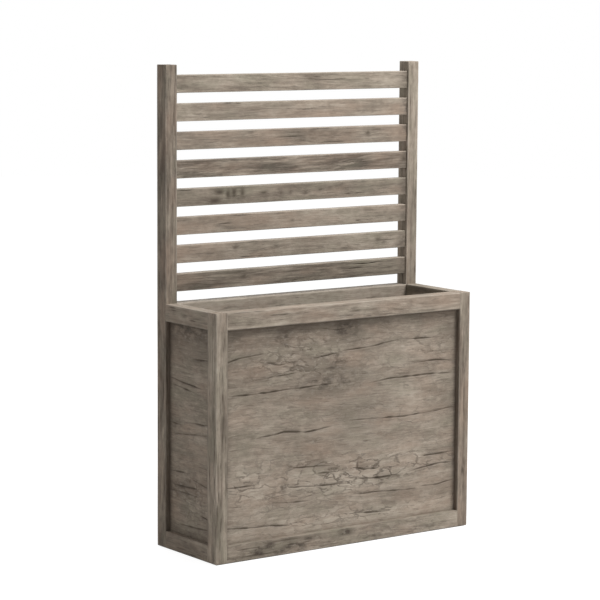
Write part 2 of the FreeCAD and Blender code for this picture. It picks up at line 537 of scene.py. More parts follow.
class TimberPaint(Paint):
    """Weathered grain that follows the boards' own attributes."""

    NAME = "weathered_grain"
    COLOURS = ("Dark", "Middle", "Light", "Olive", "Rose", "Silver")
    VALUES = ("Tone", "Hue", "Streak", "Flake", "Stain", "Crack", "Wear", "Knot", "Grime")
    INPUTS = {"Grain": "Vector"} | dict.fromkeys(COLOURS, "Color") | dict.fromkeys(VALUES, "Float")
    BUMP = {"Strength": 0.6, "Distance": 0.0009}
    SPECULAR = 0.25
    ROUGHNESS = (0.22, 0.68)
    FIELDS = {
        "fibre": Weave(16, 460, 0.0, 4),
        "hair": Weave(42, 1700, 61.7, 3),
        "streak": Weave(6.5, 100, 3.1, 5, 0.62),
        "cloud": Weave(5.0, 13, 7.7, 3, 0.55),
        "mottle": Weave(34, 62, 15.2, 4, 0.65),
        "drift": Weave(8.0, 22, 12.4, 2, 0.5),
        "blot": Weave(12, 30, 21.9, 4, 0.62, (0.54, 0.74)),
        "pores": Weave(17, 210, 31.2, 3, 0.6, (0.585, 0.69)),
        "loose": Weave(13, 24, 41.8, 3),
        "speck": Weave(58, 118, 51.3, 3, 0.6, (0.55, 0.68)),
    }
    WARP = Weave(26, 40, 5.5, 3, 0.5)
    WARP_REACH = (0.050, 0.030, 0.030)
    CELL_SCALES = (14, 46, 46)
    CELL_SHIFT = 9.1
    CELL_EDGE = 0.13
    LOOSE_SHARE = 0.26
    LOOSE_RAMP = (0.52, 0.66)
    BREAK_RAMP = (0.38, 0.55)
    RAGGED_RAMP = (0.28, 0.62)
    TONE_SHARE = 0.22
    STREAK_SHARE = 1.35
    CHUNK_SHARE = 0.30
    LEVEL_SHARES = {"fibre": 0.60, "hair": 0.45, "cloud": 0.70, "mottle": 0.75}
    HUE_DRIFT = 4.8
    HUE_SHARE = 0.27
    SOOT = (0.030, 0.017, 0.008, 1)
    SOOT_SHARE = 0.55
    BLOT_SHARE = 0.24
    COATS = (
        ("pores", 0.45, "Dark"),
        ("fleck", 0.40, "Silver"),
        ("split", 0.75, "Soot"),
        # Worn arrises, and painted light on top faces, in silver.
        ("Wear", 0.60, "Silver"),
        ("Knot", 0.90, "Soot"),
        # Painted shade in the recesses, laid on in the soot colour.
        ("Grime", 0.74, "Soot"),
        ("Crack", 0.82, "Soot"),
    )
    HEIGHTS = {"fibre": 0.50, "streak": 0.45, "hair": 0.35, "pores": -0.35, "split": -1.50}
    CHUNK_HEIGHT = 0.8

    def _painted(self, kit: NodeKit, given: Sockets) -> dict[str, Socket]:
        """The group's outputs by name.

        Args:
            kit: The group's kit.
            given: The group's inputs.

        Returns:
            The outputs.
        """
        fields = self._fields(kit, given)
        height: object = 0.0
        for name, share in self.HEIGHTS.items():
            height = kit.line(fields[name], share, height)
        chunks = kit.math("MULTIPLY", given["Flake"], self.CHUNK_HEIGHT)
        return {
            "Colour": self._aged_and_shaded(kit, given, fields, self._hued(kit, given, fields)),
            "Roughness": kit.line(fields["fibre"], *self.ROUGHNESS),
            "Height": kit.line(fields["chunk"], chunks, height),
        }

    def _fields(self, kit: NodeKit, given: Sockets) -> dict[str, Socket]:
        """The noise fields that everything else is mixed from, stretched along the grain.

        Args:
            kit: The group's kit.
            given: The group's inputs.

        Returns:
            The fields by name.
        """
        grain, flake = given["Grain"], given["Flake"]
        fields = {}
        for name, weave in self.FIELDS.items():
            value = kit.woven(grain, weave).outputs[0]
            fields[name] = kit.ramp(value, *weave.ramp) if weave.ramp else value
        warp = kit.woven(grain, self.WARP).outputs["Color"]
        settings = {"operation": "MULTIPLY_ADD"}
        swayed = kit.add("ShaderNodeVectorMath", settings, i0=warp, i1=self.WARP_REACH, i2=grain)
        place = kit.stretch(swayed.outputs[0], self.CELL_SCALES, self.CELL_SHIFT)
        shade = kit.add("ShaderNodeSeparateColor", i0=kit.cells(place, "F1").outputs["Color"])
        fields["chunk"] = kit.math("SUBTRACT", shade.outputs[0], 0.5)
        edge = kit.ramp(kit.cells(place, "DISTANCE_TO_EDGE").outputs["Distance"], self.CELL_EDGE, 0.0)
        opened = kit.ramp(kit.line(flake, self.LOOSE_SHARE, fields["loose"]), *self.LOOSE_RAMP)
        broken = kit.math("MULTIPLY", opened, kit.ramp(fields["mottle"], *self.BREAK_RAMP))
        fields["split"] = kit.math("MULTIPLY", kit.math("MULTIPLY", edge, broken), flake)
        fields["fleck"] = kit.math("MULTIPLY", fields["speck"], flake)
        return fields

    def _level(self, kit: NodeKit, given: Sockets, fields: dict[str, Socket]) -> Socket:
        """How light the timber is at a point, about 0.5 on the whole.

        Args:
            kit: The group's kit.
            given: The group's inputs.
            fields: The noise fields.

        Returns:
            The level, from 0 to 1.
        """
        total = kit.line(given["Tone"], self.TONE_SHARE, 0.5)
        lines = kit.line(fields["streak"], self.STREAK_SHARE, -self.STREAK_SHARE / 2)
        total = kit.line(lines, given["Streak"], total)
        for name, share in self.LEVEL_SHARES.items():
            total = kit.line(kit.math("SUBTRACT", fields[name], 0.5), share, total)
        chunks = kit.math("MULTIPLY", fields["chunk"], self.CHUNK_SHARE)
        return kit.line(chunks, given["Flake"], total, True)

    def _hued(self, kit: NodeKit, given: Sockets, fields: dict[str, Socket]) -> Socket:
        """The colour of sound timber: dark to light, drifting to rose and to olive.

        Args:
            kit: The group's kit.
            given: The group's inputs.
            fields: The noise fields.

        Returns:
            The colour.
        """
        level = self._level(kit, given, fields)
        colour = kit.mix(kit.math("MULTIPLY", level, 2.0, True), given["Dark"], given["Middle"])
        colour = kit.mix(kit.line(level, 2.0, -1.0, True), colour, given["Light"])
        hue = kit.line(kit.math("SUBTRACT", fields["drift"], 0.5), self.HUE_DRIFT, given["Hue"])
        for name, share in (("Rose", self.HUE_SHARE), ("Olive", -self.HUE_SHARE)):
            colour = kit.mix(kit.math("MULTIPLY", hue, share, True), colour, given[name])
        return colour

    def _aged_and_shaded(self, kit: NodeKit, given: Sockets, fields: dict[str, Socket], colour: Socket) -> Socket:
        """The colour with stains, pores, worn edges, knots and checks, and painted light and shade, laid
        over it.

        Args:
            kit: The group's kit.
            given: The group's inputs.
            fields: The noise fields.
            colour: The colour of sound timber.

        Returns:
            The colour of weathered timber, with its painted light and shade.
        """
        over = {"Dark": given["Dark"], "Silver": given["Silver"]}
        over["Soot"] = kit.mix(self.SOOT_SHARE, given["Dark"], self.SOOT)
        # Stains, and the painted shade laid on with them, darken towards the dark colour.
        stain = kit.math("MULTIPLY", given["Stain"], kit.ramp(fields["mottle"], *self.RAGGED_RAMP))
        colour = kit.mix(kit.line(fields["blot"], self.BLOT_SHARE, stain, True), colour, over["Dark"])
        for name, share, coat in self.COATS:
            mask = fields[name] if name in fields else given[name]
            colour = kit.mix(kit.math("MULTIPLY", mask, share), colour, over[coat])
        return colour

    def _inputs(self, kit: NodeKit, finish: Timber) -> dict[str, object]:
        """What a timber's material gives to the group.

        Args:
            kit: The material's kit.
            finish: The timber.

        Returns:
            The grain's place, the timber's colours and the boards' marks, by input name.
        """
        nodes = {
            name: kit.add("ShaderNodeAttribute", {"attribute_name": name.lower()})
            for name in ("Grain", *self.VALUES)
        }
        return {
            **{name: node.outputs["Fac"] for name, node in nodes.items()},
            "Grain": nodes["Grain"].outputs["Vector"],
            **{name: (*getattr(finish, name.lower()), 1) for name in self.COLOURS},
        }

    def _gloss(self, finish: Timber) -> dict[str, float]:
        """Every timber's faint sheen."""
        return {"Specular_IOR_Level": self.SPECULAR}


class SpeckledPaint(Paint):
    """A fine speckle for metal and plastic."""

    NAME = "fine_speckle"
    INPUTS = {"Place": "Vector", "Low": "Color", "High": "Color", "Scale": "Float", "Base": "Float"}
    BUMP = {"Strength": 0.25, "Distance": 0.0001}
    FINE = (3.0, 0.6)
    BROAD = (2.0, 0.5)
    BROAD_SHARE = 0.2
    SPECKLE_RAMP = (0.35, 0.65)
    ROUGHNESS_SHARE = 0.35

    def _painted(self, kit: NodeKit, given: Sockets) -> dict[str, Socket]:
        """The group's outputs by name.

        Args:
            kit: The group's kit.
            given: The group's inputs.

        Returns:
            The outputs.
        """
        place, scale = given["Place"], given["Scale"]
        fine = kit.noise(place, *self.FINE, scale)
        broad = kit.noise(place, *self.BROAD, kit.math("MULTIPLY", scale, self.BROAD_SHARE))
        uneven = kit.math("SUBTRACT", broad, 0.5)
        share = kit.ramp(kit.math("ADD", fine, uneven), *self.SPECKLE_RAMP)
        return {
            "Colour": kit.mix(share, given["Low"], given["High"]),
            "Roughness": kit.line(uneven, self.ROUGHNESS_SHARE, given["Base"], True),
            "Height": fine,
        }

    def _inputs(self, kit: NodeKit, finish: Speckled) -> dict[str, object]:
        """What a plain finish's material gives to the group.

        Args:
            kit: The material's kit.
            finish: The finish.

        Returns:
            The place and the finish's values, by input name.
        """
        return {
            "Place": kit.add("ShaderNodeTexCoord").outputs["Object"],
            "Low": (*finish.low, 1),
            "High": (*finish.high, 1),
            "Scale": finish.scale,
            "Base": finish.roughness,
        }

    def _gloss(self, finish: Speckled) -> dict[str, float]:
        """How metallic the finish is."""
        return {"Metallic": finish.metallic}


def put(
    mesh: bpy.types.Mesh, material: bpy.types.Material, body: str, node: str = ""
) -> bpy.types.Object:
    """Puts a finished mesh in the scene.

    Args:
        mesh: The mesh, whose name the piece takes.
        material: Its material.
        body: The body that it rides on.
        node: The node that it replaces, if any.

    Returns:
        The new object.
    """
    mesh.materials.append(material)
    piece = bpy.data.objects.new(mesh.name, mesh)
    bpy.context.scene.collection.objects.link(piece)
    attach(piece, body)
    if node:
        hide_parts(node)
    return piece


@dataclass(frozen=True)
class Recesses:
    """The shallow recesses outside the panels, where painted shade darkens the frame."""

    half_x: float
    half_y: float
    panel_x: float
    panel_y: float
    bottom: float
    top: float
    margin: float = 0.0025
    reach: float = 0.007
    fade: float = 0.009
    mouth: float = 0.55
    sill: float = 0.25

    @classmethod
    def measured(cls) -> Recesses:
        """The recesses between the frame's own nodes."""
        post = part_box("back_right_post")[0]
        return cls(
            half_x=post.x,
            half_y=post.y,
            panel_x=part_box("right_panel")[1].x,
            panel_y=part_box("back_panel")[1].y,
            bottom=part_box("back_bottom_rail")[1].z,
            top=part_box("back_top_rail")[0].z,
        )

    def grime(self, points: np.ndarray) -> np.ndarray:
        """How deep in painted shade each point is.

        Args:
            points: Places in the frame, of shape (n, 3).

        Returns:
            Values from 0 to 1.
        """
        walls = self._pair(points, 0, 1, self.half_x, self.panel_y)
        ends = self._pair(points, 1, 0, self.half_y, self.panel_x)
        return np.maximum(walls, ends)

    def _pair(self, points: np.ndarray, run: int, out: int, half: float, panel: float) -> np.ndarray:
        """The painted shade in two facing recesses.

        Args:
            points: Places in the frame, of shape (n, 3).
            run: The axis that the recesses run along.
            out: The axis that they are sunk along.
            half: Half their run.
            panel: How far out the panels' faces lie.

        Returns:
            Values from 0 to 1.
        """
        gaps = {
            "side": half - np.abs(points[:, run]),
            "depth": np.abs(points[:, out]) - panel,
            "under": self.top - points[:, 2],
            "over": points[:, 2] - self.bottom,
        }
        inside = np.all([gap > -self.margin for gap in gaps.values()], axis=0)
        near = {name: np.exp(-np.clip(gap, 0, None) / self.reach) for name, gap in gaps.items()}
        deep = self.mouth + (1 - self.mouth) * np.exp(-np.clip(gaps["depth"], 0, None) / self.fade)
        # Painted shade: strongest against the posts and under the top rails, weaker above the bottom rails,
        # darkest deep in the recess.
        return inside * deep * np.max([near["side"], near["under"], self.sill * near["over"]], axis=0)


@dataclass(frozen=True)
class Weathering:
    """How a board's skin has aged: noise scales along and across the grain, and depths in metres."""

    ridge_scale: Point = (9.0, 170.0)
    ridge_depth: float = 0.00022
    hollow_scale: Point = (7.0, 26.0)
    hollow_depth: float = 0.00030
    flake_scale: Point = (34.0, 78.0)
    flake_bias: float = 0.1
    flake_depth: float = 0.0018
    chip_scale: Point = (16.0, 50.0)
    chip_bias: float = -0.15
    chip_depth: float = 0.0016
    arris_loss: float = 0.00015
    arris_reach: float = 1.6
    worn_scale: Point = (22.0, 60.0)
    worn_line: Point = (1.6, -0.15)
    ragged_scale: Point = (45.0, 80.0)
    raggedness: float = 0.55
    bend_scale: Point = (3.2, 6.0)
    bend_reach: Point = (0.010, 0.014)
    knot_reach: float = 0.010
    grain_origin: Point = (1.0, 9.0)


@dataclass(frozen=True)
class Skin:
    """A board's points before it weathers: places along and across it, ways out, and sides.

    The first rows times ring points are rings along the board, and the rest are rings down its bore.
    """

    local: np.ndarray
    way: np.ndarray
    side: np.ndarray
    rows: int
    ring: int


@dataclass
class Board:
    """One timber board: a swept section with eased, worn edges and carved checks."""

    node: str
    low: Vector
    high: Vector
    grain: Axis
    seed: int
    tint: Tint = field(default_factory=Tint)
    face: Side = Side.LOW
    checks: dict[Side, tuple[Crack, ...]] = field(default_factory=dict)
    knots: tuple[Patch, ...] = ()
    # Stains, and painted shade in some places such as under the top rails and at the slats' ends.
    stains_and_shade: tuple[Patch, ...] = ()
    flakes: tuple[Patch, ...] = ()
    lights: tuple[Patch, ...] = ()
    flake: float = 0.12
    # Painted light on the top face; a negative value paints shade there instead.
    top_light: float = 0.0
    slope: float = 0.03
    ease: float = 0.0018
    # Strength of the worn, chipped arrises and of the painted light on the top face.
    wear: float = 1.0
    step_along: float = 0.006
    step_across: float = 0.0022
    step_hidden: float = 0.004
    bore: tuple[Point, ...] = ()
    aging: Weathering = field(default_factory=Weathering)

    BODY: ClassVar[str] = "frame"
    ARRIS: ClassVar[int] = -1
    INNER: ClassVar[int] = -2
    BORE_SEGMENTS: ClassVar[int] = 40
    ARRIS_TURNS: ClassVar[tuple[float, ...]] = (22.5, 45.0, 67.5)
    END_TURNS: ClassVar[tuple[float, ...]] = (0.0, 30.0, 60.0)

    def _axes(self) -> tuple[int, int, int]:
        """Frame axes of the grain, the section's depth and the section's height."""
        return {Axis.X: (0, 1, 2), Axis.Y: (1, 0, 2), Axis.Z: (2, 0, 1)}[self.grain]

    def _length(self) -> float:
        """The length along the grain."""
        a = self._axes()[0]
        return self.high[a] - self.low[a]

    def _halves(self) -> np.ndarray:
        """Half the section's depth and height."""
        _, b, c = self._axes()
        return np.array([(self.high[b] - self.low[b]) / 2, (self.high[c] - self.low[c]) / 2])

    def _noise(self, layer: Layer, offset: int = 0) -> Noise:
        """One of the board's own noise fields."""
        return Noise(self.seed + layer.value + offset)

    def _section(self) -> tuple[np.ndarray, np.ndarray, np.ndarray]:
        """Walks round the section.

        Returns:
            Places and outward normals of shape (n, 2), and each point's side, or ARRIS on an arris.
        """
        flat = self._halves() - self.ease
        corners = [(-1, 1), (1, 1), (1, -1), (-1, -1)]
        ways = [np.array(way, float) for way in ((-1, 0), (0, 1), (1, 0), (0, -1))]
        places, normals, sides = [], [], []
        for side, normal in enumerate(ways):
            start, finish = flat * np.array(corners[side - 1]), flat * np.array(corners[side])
            run = float(np.abs(finish - start).max())
            fine = side == self.face.value or Side(side) in self.checks
            count = max(2, round(run / (self.step_across if fine else self.step_hidden)))
            for share in np.linspace(0, 1, count + 1):
                places.append(start + (finish - start) * share + normal * self.ease)
                normals.append(normal)
                sides.append(side)
            for turn in np.radians(self.ARRIS_TURNS):
                way = normal * math.cos(turn) + ways[(side + 1) % len(ways)] * math.sin(turn)
                places.append(finish + way * self.ease)
                normals.append(way)
                sides.append(self.ARRIS)
        return np.array(places), np.array(normals), np.array(sides)

    def _stations(self) -> tuple[np.ndarray, np.ndarray]:
        """Steps along the grain, with rounded ends.

        Returns:
            Places along the grain, and how far the section draws in at each.
        """
        length = self._length()
        turns = np.radians(self.END_TURNS)
        lead = self.ease * (1 - np.cos(turns))
        draw = self.ease * (1 - np.sin(turns))
        inner = np.linspace(self.ease, length - self.ease, max(4, round(length / self.step_along)))
        offsets = np.concatenate([lead, inner, (length - lead)[::-1]])
        insets = np.concatenate([draw, np.zeros(len(inner)), draw[::-1]])
        return offsets + self.low[self._axes()[0]], insets

    def _bored(self) -> np.ndarray:
        """Rings down the bore in the low end.

        Returns:
            Places in the board's own coordinates, none where it has no bore.
        """
        turns = np.linspace(0, 2 * math.pi, self.BORE_SEGMENTS, endpoint=False)
        base = self.low[self._axes()[0]]
        rings = [
            (base + depth, radius * math.cos(turn), radius * math.sin(turn))
            for radius, depth in self.bore
            for turn in turns
        ]
        return np.array(rings).reshape(-1, 3)

    def _skin(self) -> Skin:
        """Sweeps the section along the grain.

        Returns:
            The board's points as planed.
        """
        places, normals, sides = self._section()
        stations, insets = self._stations()
        rows, ring = len(stations), len(places)
        way = np.tile(normals, (rows, 1))
        spot = np.tile(places, (rows, 1)) - way * np.repeat(insets, ring)[:, None]
        bored = self._bored()
        return Skin(
            local=np.vstack([np.column_stack([np.repeat(stations, ring), spot]), bored]),
            way=np.vstack([way, np.zeros((len(bored), 2))]),
            side=np.concatenate([np.tile(sides, rows), np.full(len(bored), self.INNER)]),
            rows=rows,
            ring=ring,
        )

    def build(self, material: bpy.types.Material, slot: str, recesses: Recesses) -> bpy.types.Object:
        """Builds the board's mesh and puts it in place of its node.

        Args:
            material: The timber's material.
            slot: The record's material slot; not used.
            recesses: Where painted shade darkens the boards.

        Returns:
            The new object.
        """
        skin = self._skin()
        marks = self._marks(skin)
        points = self._weathered(skin, marks)
        # Painted shade in the recesses between the frame's boards.
        marks["grime"] = recesses.grime(points)
        mesh = self._mesh(points, skin)
        self._write(mesh, skin.local, marks)
        return put(mesh, material, self.BODY, self.node)

    def _weathered(self, skin: Skin, marks: dict[str, np.ndarray]) -> np.ndarray:
        """Sinks the skin under its true faces and lays it in the frame.

        Args:
            skin: The board's points as planed.
            marks: What is marked on them.

        Returns:
            Places in the frame, of shape (n, 3).
        """
        a, b, c = self._axes()
        spot = skin.local[:, 1:] - skin.way * self._sunk(skin, marks)[:, None]
        points = np.zeros((len(spot), 3))
        points[:, a] = skin.local[:, 0]
        points[:, b] = spot[:, 0] + (self.low[b] + self.high[b]) / 2
        points[:, c] = spot[:, 1] + (self.low[c] + self.high[c]) / 2
        return points

    def _mesh(self, points: np.ndarray, skin: Skin) -> bpy.types.Mesh:
        """Joins the rings into a closed skin with smooth faces that look outwards.

        Args:
            points: Every point of the board, in the frame.
            skin: How the points lie in rings.

        Returns:
            The mesh.
        """
        rim = skin.rows * skin.ring
        index = np.arange(rim).reshape(skin.rows, skin.ring)
        first, second = index[:-1], index[1:]
        quads = np.stack([first, second, np.roll(second, -1, axis=1), np.roll(first, -1, axis=1)], axis=-1)
        faces = [tuple(quad) for quad in quads.reshape(-1, 4).tolist()]
        faces += [*self._low_end(points, index[0].tolist(), rim), tuple(index[-1][::-1].tolist())]
        mesh = bpy.data.meshes.new(f"{self.node}_timber")
        mesh.from_pydata(points.tolist(), [], faces)
        shape = bmesh.new()
        shape.from_mesh(mesh)
        bmesh.ops.recalc_face_normals(shape, faces=shape.faces)
        shape.to_mesh(mesh)
        shape.free()
        mesh.polygons.foreach_set("use_smooth", [True] * len(mesh.polygons))
        mesh.update()
        return mesh

    def _low_end(self, points: np.ndarray, outline: list[int], start: int) -> list[tuple[int, ...]]:
        """Faces that close the low end: one cap, or a cap round the bore and the bore's own walls.

        Args:
            points: Every point of the board.
            outline: The end's outline.
            start: The first point of the bore's rings.

        Returns:
            The faces.
        """
        if not self.bore:
            return [tuple(outline)]
        count = self.BORE_SEGMENTS
        rings = [list(range(start + k * count, start + (k + 1) * count)) for k in range(len(self.bore))]
        loops = [[Vector(points[place]) for place in loop] for loop in (outline, rings[0])]
        order = outline + rings[0]
        faces = [tuple(order[corner] for corner in face) for face in tessellate_polygon(loops)]
        for first, second in zip(rings, rings[1:]):
            for step in range(count):
                after = (step + 1) % count
                faces.append((first[step], first[after], second[after], second[step]))
        return [*faces, tuple(rings[-1])]

    def _shares(self, local: np.ndarray, side: Side) -> tuple[np.ndarray, np.ndarray, float]:
        """Where every point lies on one side of the board.

        Args:
            local: Places in the board's own coordinates.
            side: Which side.

        Returns:
            Shares of the length and across the side, and the side's width.
        """
        along = (local[:, 0] - self.low[self._axes()[0]]) / self._length()
        upright = side in (Side.LOW, Side.HIGH)
        width = 2 * float(self._halves()[1 if upright else 0])
        return along, 0.5 - local[:, 2 if upright else 1] / width, width

    def _marks(self, skin: Skin) -> dict[str, np.ndarray]:
        """Args:
            skin: The board's points as planed.

        Returns:
            Values by name; "sunk" is the checks' depth.
        """
        share, _, _ = self._shares(skin.local, self.face)
        count = len(share)
        marks = {
            "tone": np.interp(share, (0, 1), self.tint.tone) + self._patched(skin, self.lights),
            "hue": np.interp(share, (0, 1), self.tint.hue),
            "streak": np.full(count, self.tint.streak),
            "crack": np.zeros(count),
            "sunk": np.zeros(count),
            "stain": self._patched(skin, self.stains_and_shade),
            "knot": self._patched(skin, self.knots),
            "flake": np.maximum(self.flake, self._patched(skin, self.flakes)),
        }
        # Painted light on top faces, laid on as patchy silvering with the wear where the value is positive,
        # and painted shade where it is negative.
        top = skin.side == Side.TOP.value
        marks["stain"] = np.maximum(marks["stain"], -self.top_light * top)
        marks["wear"] = self._wear_and_top_light(skin, np.maximum(self._arris(skin.local), self.top_light * top))
        for place, cracks in self.checks.items():
            for number, crack in enumerate(cracks):
                self._split(skin, place, crack, number, marks)
        return marks

    def _wear_and_top_light(self, skin: Skin, exposure: np.ndarray) -> np.ndarray:
        """How worn every point is, with the painted light on top faces, in patches.

        Args:
            skin: The board's points as planed.
            exposure: How much of the wear, and of the painted light on top faces, can reach each point.

        Returns:
            Values from 0 to 1.
        """
        gain, offset = self.aging.worn_line
        patch = 0.5 + 0.5 * self._noise(Layer.ROUGH).grained(skin.local, self.aging.worn_scale)
        return exposure * np.clip(patch * gain + offset, 0, 1) * self.wear

    def _patched(self, skin: Skin, patches: tuple[Patch, ...]) -> np.ndarray:
        """How strongly the face's patches cover every point.

        Args:
            skin: The board's points as planed.
            patches: The patches.

        Returns:
            The strongest patch's amount at each point.
        """
        total = np.zeros(len(skin.local))
        if not patches:
            return total
        share, down, height = self._shares(skin.local, self.face)
        rough = self._noise(Layer.ROUGH).grained(skin.local, self.aging.ragged_scale)
        for patch in patches:
            across = (down - patch.down) * height / patch.rise
            along = (share - patch.along) * self._length() / patch.reach
            near = np.exp(-(across**2 + along**2) * (1 + self.aging.raggedness * rough)) * patch.amount
            total = np.maximum(total, near * (skin.side == self.face.value))
        return total

    def _split(
        self, skin: Skin, place: Side, crack: Crack, number: int, marks: dict[str, np.ndarray]
    ) -> None:
        """Adds one check to the marks: its colour, its depth and the dirt beside it.

        Args:
            skin: The board's points as planed.
            place: The side that it is on.
            crack: The check.
            number: Which check of its side it is.
            marks: The marks, which it is added to.
        """
        share, down, width = self._shares(skin.local, place)
        first, last = crack.points[0][0], crack.points[-1][0]
        inside = (skin.side == place.value) & (share >= first) & (share <= last)
        if not inside.any():
            return
        wander = self._noise(Layer.WANDER, place.value)
        centre, swell = crack.course(share[inside], self._length(), width, wander, number)
        hit, halo = crack.opening(np.abs(down[inside] * width - centre), swell)
        for name, value in (("crack", hit), ("sunk", hit * crack.depth), ("stain", halo)):
            marks[name][inside] = np.maximum(marks[name][inside], value)

    def _arris(self, local: np.ndarray) -> np.ndarray:
        """1 on an arris, fading to 0 a few millimetres away."""
        gaps = self._halves() - np.abs(local[:, 1:])
        return np.exp(-((gaps.max(axis=1) / (self.ease * self.aging.arris_reach)) ** 2))

    def _sunk(self, skin: Skin, marks: dict[str, np.ndarray]) -> np.ndarray:
        """How far every point lies under the true face: weathering, wear and checks.

        Args:
            skin: The board's points as planed.
            marks: What is marked on them.

        Returns:
            Depths in metres.
        """
        local, aging = skin.local, self.aging
        ridges = self._noise(Layer.RIDGES).grained(local, aging.ridge_scale, 2)
        hollows = self._noise(Layer.HOLLOWS).grained(local, aging.hollow_scale, 2)
        flaked = self._noise(Layer.FLAKES).grained(local, aging.flake_scale, 2) + aging.flake_bias
        chips = self._noise(Layer.CHIPS).grained(local, aging.chip_scale) + aging.chip_bias
        sunk = aging.ridge_depth * (1 + ridges) + aging.hollow_depth * (1 + hollows)
        on_face = skin.side == self.face.value
        sunk += aging.flake_depth * np.clip(flaked, 0, 1) * marks["flake"] * on_face
        lost = aging.arris_loss + aging.chip_depth * np.clip(chips, 0, 1)
        return sunk + (skin.side < 0) * lost * self.wear + marks["sunk"]

    def _write(self, mesh: bpy.types.Mesh, local: np.ndarray, marks: dict[str, np.ndarray]) -> None:
        """Stores the grain's own coordinates and the marks as mesh attributes.

        Args:
            mesh: The board's mesh.
            local: Places in the board's own coordinates.
            marks: What is marked on them.
        """
        rng = np.random.default_rng(self.seed)
        bend = self._noise(Layer.BEND).grained(local, self.aging.bend_scale, 2)
        lean = rng.uniform(-self.slope, self.slope)
        grain = local.copy()
        for axis, reach in enumerate(self.aging.bend_reach, start=1):
            grain[:, axis] += reach * bend + lean * local[:, 0]
        grain[:, 2] += self.aging.knot_reach * marks["knot"]
        grain += rng.uniform(*self.aging.grain_origin, 3)
        layer = mesh.attributes.new("grain", "FLOAT_VECTOR", "POINT")
        layer.data.foreach_set("vector", grain.astype(np.float32).ravel())
        for name in (value.lower() for value in TimberPaint.VALUES):
            layer = mesh.attributes.new(name, "FLOAT", "POINT")
            layer.data.foreach_set("value", marks[name].astype(np.float32))


@dataclass(frozen=True)
class Checking:
    """How strewn checks cover a side: their number, the longest one's share of the length, their widths."""

    count: int
    longest: float
    width: Point


class Strewn:
    """Seeded arrangements of checks and stains for sides that nothing else describes."""

    LENGTH = (0.3, 1.0)
    LANE = (0.15, 0.85)
    MIDDLE = (0.3, 0.7)
    MIDDLE_SWAY = 0.006
    END_SWAY = 0.012
    DEPTH = (0.0010, 0.0024)
    STREAK_DOWN = (0.08, 0.92)
    STREAK_REACH = (0.012, 0.060)
    STREAK_RISE = (0.0011, 0.0028)
    STREAK_SHARE = (0.5, 1.0)

    def __init__(self, seed: int) -> None:
        """Starts the arrangement with this seed."""
        self.rng = np.random.default_rng(seed)

    def cracks(self, checking: Checking) -> tuple[Crack, ...]:
        """Checks from the top of a side to its bottom.

        Args:
            checking: How they cover the side.

        Returns:
            The checks.
        """
        rng = self.rng
        found = []
        for number in range(checking.count):
            span = rng.uniform(*self.LENGTH) * checking.longest
            start = rng.uniform(0.0, 1.0 - span)
            down = (number + rng.uniform(*self.LANE)) / checking.count
            middle = start + span * rng.uniform(*self.MIDDLE)
            bend = (middle, down + rng.uniform(-self.MIDDLE_SWAY, self.MIDDLE_SWAY))
            last = (start + span, down + rng.uniform(-self.END_SWAY, self.END_SWAY))
            path = ((start, down), bend, last)
            found.append(Crack(path, rng.uniform(*checking.width), rng.uniform(*self.DEPTH)))
        return tuple(found)

    def streaks(self, count: int, amount: float) -> tuple[Patch, ...]:
        """Long thin stains on a face.

        Args:
            count: How many stains.
            amount: The strongest one's strength.

        Returns:
            The stains.
        """
        rng = self.rng
        return tuple(
            Patch(
                rng.uniform(0.0, 1.0),
                rng.uniform(*self.STREAK_DOWN),
                rng.uniform(*self.STREAK_REACH),
                rng.uniform(*self.STREAK_RISE),
                amount * rng.uniform(*self.STREAK_SHARE),
            )
            for _ in range(count)
        )


